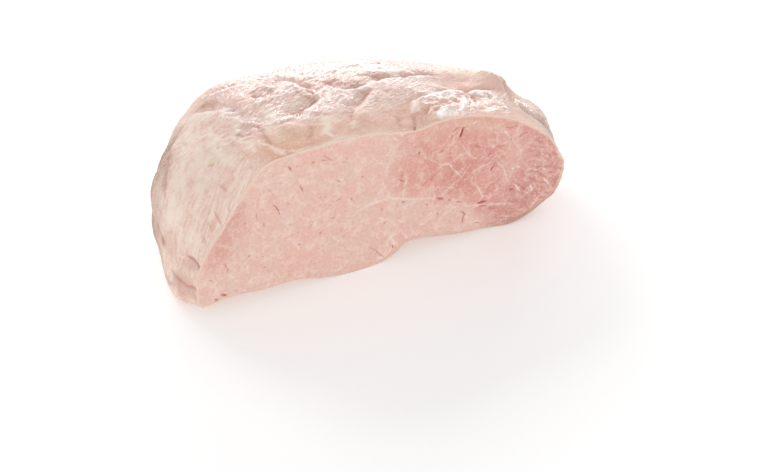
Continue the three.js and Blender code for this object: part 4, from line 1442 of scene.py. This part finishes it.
def skin_pale_and_highlights(shader, colour, place, mottled, speckled):
    """The skin's colour under what is pale on it: specks and cracks, and painted highlights on crests, on
    the whitest places, as glints and on the glossy lumps.
    """
    wet, gloss, crest_highlight = (shader.field(name) for name in ("wet", "gloss", "crest_highlight"))
    # Painted highlight on the crests, stronger where the top is moist.
    colour = shader.mix(shader.times(crest_highlight, shader.ramp(wet, 0.2, 1.0, 0.05, 0.3)), colour, CREST_HIGHLIGHT)
    # Painted light on the whitest places.
    colour = shader.paint(colour, PAINTED_LIGHT_COATS)
    colour = shader.wash(colour, speckled, 0.5, 0.7, 0.3, SPECK)
    cracks = shader.web(shader.warped(place, 6, 3), 6, 0.07)
    cracks = shader.times(cracks, shader.ramp(mottled, 0.45, 0.6, 0, 0.45))
    colour = shader.mix(cracks, colour, CRACK)
    # Painted glints: fine white streaks along the wrinkles on moist crests, fewer on the glossy patches.
    glinting = shader.stretch(shader.warped(place, 5, 1), (2.0, 0.8, 1.0), ALONG_WRINKLES)
    shining = shader.times(wet, shader.ramp(crest_highlight, 0.1, 0.8, 0.2, 1.0))
    shining = shader.times(shining, shader.ramp(gloss, 0, 1, 1.0, 0.3))
    glints = shader.ramp(shader.noise(glinting, 1.5), 0.5, 0.6, 0, 0.9)
    colour = shader.mix(shader.times(glints, shining), colour, GLINT)
    # Painted highlight on the glossy lumps, with painted sparkle over them.
    colour = shader.paint(colour, LUMP_HIGHLIGHT_COATS)
    sparkle = shader.ramp(shader.noise(glinting, 1.2), 0.5, 0.62, 0, 0.9)
    return shader.mix(shader.times(shader.field("lumps"), sparkle), colour, SPARKLE)


def skin_material():
    """The outer skin: pale pink meat with streaks of creamy fat, moist and finely wrinkled, with painted
    shade in its hollows and folds and painted highlights on its crests and glossy lumps.
    """
    shader = Shader("ham_skin")
    place = shader.place()
    mottled = shader.noise(shader.warped(place, 8, 2), 5, 4)
    speckled = shader.noise(place, 1.6, 3)
    colour = skin_meat(shader, place, mottled)
    colour = skin_pale_and_highlights(shader, colour, place, mottled, speckled)
    # The last marks, among them painted light in soft shade and painted shade beside folds, in hollows and
    # in the bottoms of folds.
    colour = shader.paint(colour, SKIN_MARKS)
    wet, gloss = shader.field("wet"), shader.field("gloss")
    roughness = shader.math("MULTIPLY_ADD", wet, -0.56, shader.ramp(mottled, 0.3, 0.7, 0.74, 0.88))
    roughness = shader.math("MULTIPLY_ADD", gloss, 0.05, roughness)
    strength = shader.times(shader.ramp(wet, 0.0, 0.8, 0.45, 1.0), shader.ramp(gloss, 0, 1, 1.0, 0.75))
    grain = shader.bump(speckled, 0.4, strength)
    long = shader.stretch(shader.warped(place, 6, 2), (1.9, 0.8, 1.0), ALONG_WRINKLES)
    wrinkles = shader.bump(shader.noise(long, 2.6, 3), 0.9, strength, grain)
    made = {"Base Color": colour, "Roughness": roughness, "Normal": wrinkles}
    return shader.finish(MEAT | SKIN_SHINE | made)


def cut_meat(shader, moved, broad, cloudy, fibrous):
    """The meat of the cut: fine and pale, in darker bundles at the right, and torn at the end, with painted
    glints on the torn meat.
    """
    pale = shader.mix(shader.ramp(broad, 0.35, 0.65), *CUT_GROUND)
    pale = shader.wash(pale, cloudy, 0.48, 0.7, 0.65, PALE_CLOUD)
    bundle = shader.cells(fibrous, 15, "F1").outputs["Color"]
    deep = shader.mix(shader.ramp(bundle, 0.1, 0.9), *MUSCLE_GROUND)
    deep = shader.wash(deep, cloudy, 0.45, 0.7, 0.5, MUSCLE_CLOUD)
    colour = shader.mix(shader.field("muscle"), pale, deep)
    torn = shader.noise(shader.stretch(moved, (2.2, 1.0, 0.7), (0, 0.5, 0)), 4, 4)
    ending = shader.mix(shader.ramp(torn, 0.4, 0.6), *TORN_GROUND)
    # Painted glints of the torn meat.
    glints = shader.noise(shader.stretch(moved, (1.8, 1.0, 0.6), (0, 0.9, 0)), 1.8)
    ending = shader.wash(ending, glints, 0.6, 0.68, 0.7, TORN_GLINT)
    return shader.paint(colour, [("end", 0.85, ending), *CUT_COATS])


def cut_webs(shader, colour, place, broad, cloudy, fibrous):
    """The cut's colour under its two faint nets, the wide one only in the darker muscle."""
    wide = shader.times(shader.web(fibrous, 15, 0.045), shader.ramp(broad, 0.42, 0.6, 0.02, 0.25))
    colour = shader.mix(shader.times(wide, shader.field("muscle")), colour, WIDE_NET)
    narrow = shader.web(shader.warped(place, 5, 2.5), 5.5, 0.08)
    narrow = shader.times(narrow, shader.ramp(cloudy, 0.4, 0.6, 0, 0.45))
    return shader.mix(narrow, colour, NARROW_NET)


def cut_rim(shader, colour, cloudy):
    """The cut's colour under a band of fat along its upper rim and a darker band along its lower rim."""
    rim = shader.field("rim")
    below = shader.times(shader.ramp(rim, 0.8, 4.0, 0.45, 0), shader.field("under"))
    colour = shader.mix(below, colour, LOWER_RIM_BAND)
    uneven = shader.math("ADD", rim, shader.ramp(cloudy, 0.3, 0.7, -0.6, 0.6))
    above = shader.times(shader.ramp(uneven, 0.5, 2.6, 0.85, 0), shader.field("upper"))
    return shader.mix(above, colour, UPPER_FAT)


def cut_material():
    """The cut face: fine pale meat on the left, darker muscle with pale veins on the right, and painted
    glints where it is torn.
    """
    shader = Shader("ham_cut")
    place = shader.place()
    moved = shader.warped(place, 16, 4)
    broad = shader.noise(moved, 22, 3)
    cloudy = shader.noise(shader.warped(place, 7, 2.5), 8, 4)
    fine = shader.noise(shader.warped(place, 5, 1), 2.4, 4)
    fibrous = shader.warped(place, 9, 3.2)
    colour = cut_meat(shader, moved, broad, cloudy, fibrous)
    colour = shader.wash(colour, fine, 0.5, 0.75, 0.4, PALE_GRAIN)
    colour = shader.wash(colour, fine, 0.5, 0.28, 0.4, DARK_GRAIN)
    colour = cut_webs(shader, colour, place, broad, cloudy, fibrous)
    colour = cut_rim(shader, shader.paint(colour, CUT_MARKS), cloudy)
    roughness = shader.ramp(fine, 0.3, 0.7, 0.4, 0.55)
    grain = shader.bump(shader.noise(place, 1.2, 3), 0.1, 0.8)
    normal = shader.bump(shader.noise(place, 4, 3), 0.3, 0.6, grain)
    return shader.finish(MEAT | {"Base Color": colour, "Roughness": roughness, "Normal": normal})


def make_floor():
    """A wide plain floor, white as in the photograph."""
    mesh = bpy.data.meshes.new("floor")
    half = FLOOR_HALF
    corners = [(-half, -half, 0), (half, -half, 0), (half, half, 0), (-half, half, 0)]
    mesh.from_pydata(corners, [], [(0, 1, 2, 3)])
    mesh.materials.append(Shader("floor").finish(FLOOR_SURFACE))
    floor = bpy.data.objects.new("floor", mesh)
    bpy.context.collection.objects.link(floor)


def add_light(name, place, target, width, height, power):
    """A soft rectangular studio light that points at a place."""
    light = bpy.data.lights.new(name, "AREA")
    light.shape = "RECTANGLE"
    light.size, light.size_y = width, height
    light.energy = power
    lamp = bpy.data.objects.new(name, light)
    lamp.location = place
    lamp.rotation_euler = (Vector(target) - Vector(place)).to_track_quat("-Z", "Y").to_euler()
    bpy.context.collection.objects.link(lamp)


def make_light():
    """Two lights behind the ham, a wide one in front and an even pale room."""
    for light in LIGHTS:
        add_light(*light)
    world = bpy.data.worlds.new("room")
    world.use_nodes = True
    background = world.node_tree.nodes["Background"].inputs
    background["Color"].default_value = WHITE
    background["Strength"].default_value = ROOM_BRIGHTNESS
    bpy.context.scene.world = world
    bpy.context.scene.view_settings.view_transform = "Standard"


def make_camera():
    """A camera that sees the ham as the photograph does."""
    turn, tilt = math.radians(CAMERA_TURN), math.radians(CAMERA_TILT)
    right = Vector((math.cos(turn), -math.sin(turn), 0))
    forward = Vector((math.sin(turn) * math.cos(tilt), math.cos(turn) * math.cos(tilt), -math.sin(tilt)))
    up = right.cross(forward)
    aside = (AIM_PIXEL[0] - PHOTO_WIDTH / 2) / FOCAL_PIXELS
    above = (PHOTO_HEIGHT / 2 - AIM_PIXEL[1]) / FOCAL_PIXELS
    seen = AIM_DEPTH * (forward + aside * right + above * up)
    data = bpy.data.cameras.new("camera")
    data.sensor_width = SENSOR_WIDTH
    data.lens = data.sensor_width * FOCAL_PIXELS / PHOTO_WIDTH
    data.clip_end = VIEW_END
    camera = bpy.data.objects.new("camera", data)
    camera.location = (Vector(AIM_POINT) - Vector(MAKING_ORIGIN) - seen) * METRES
    camera.rotation_euler = forward.to_track_quat("-Z", "Y").to_euler()
    bpy.context.collection.objects.link(camera)
    bpy.context.scene.camera = camera


make_ham()
make_floor()
make_light()
make_camera()
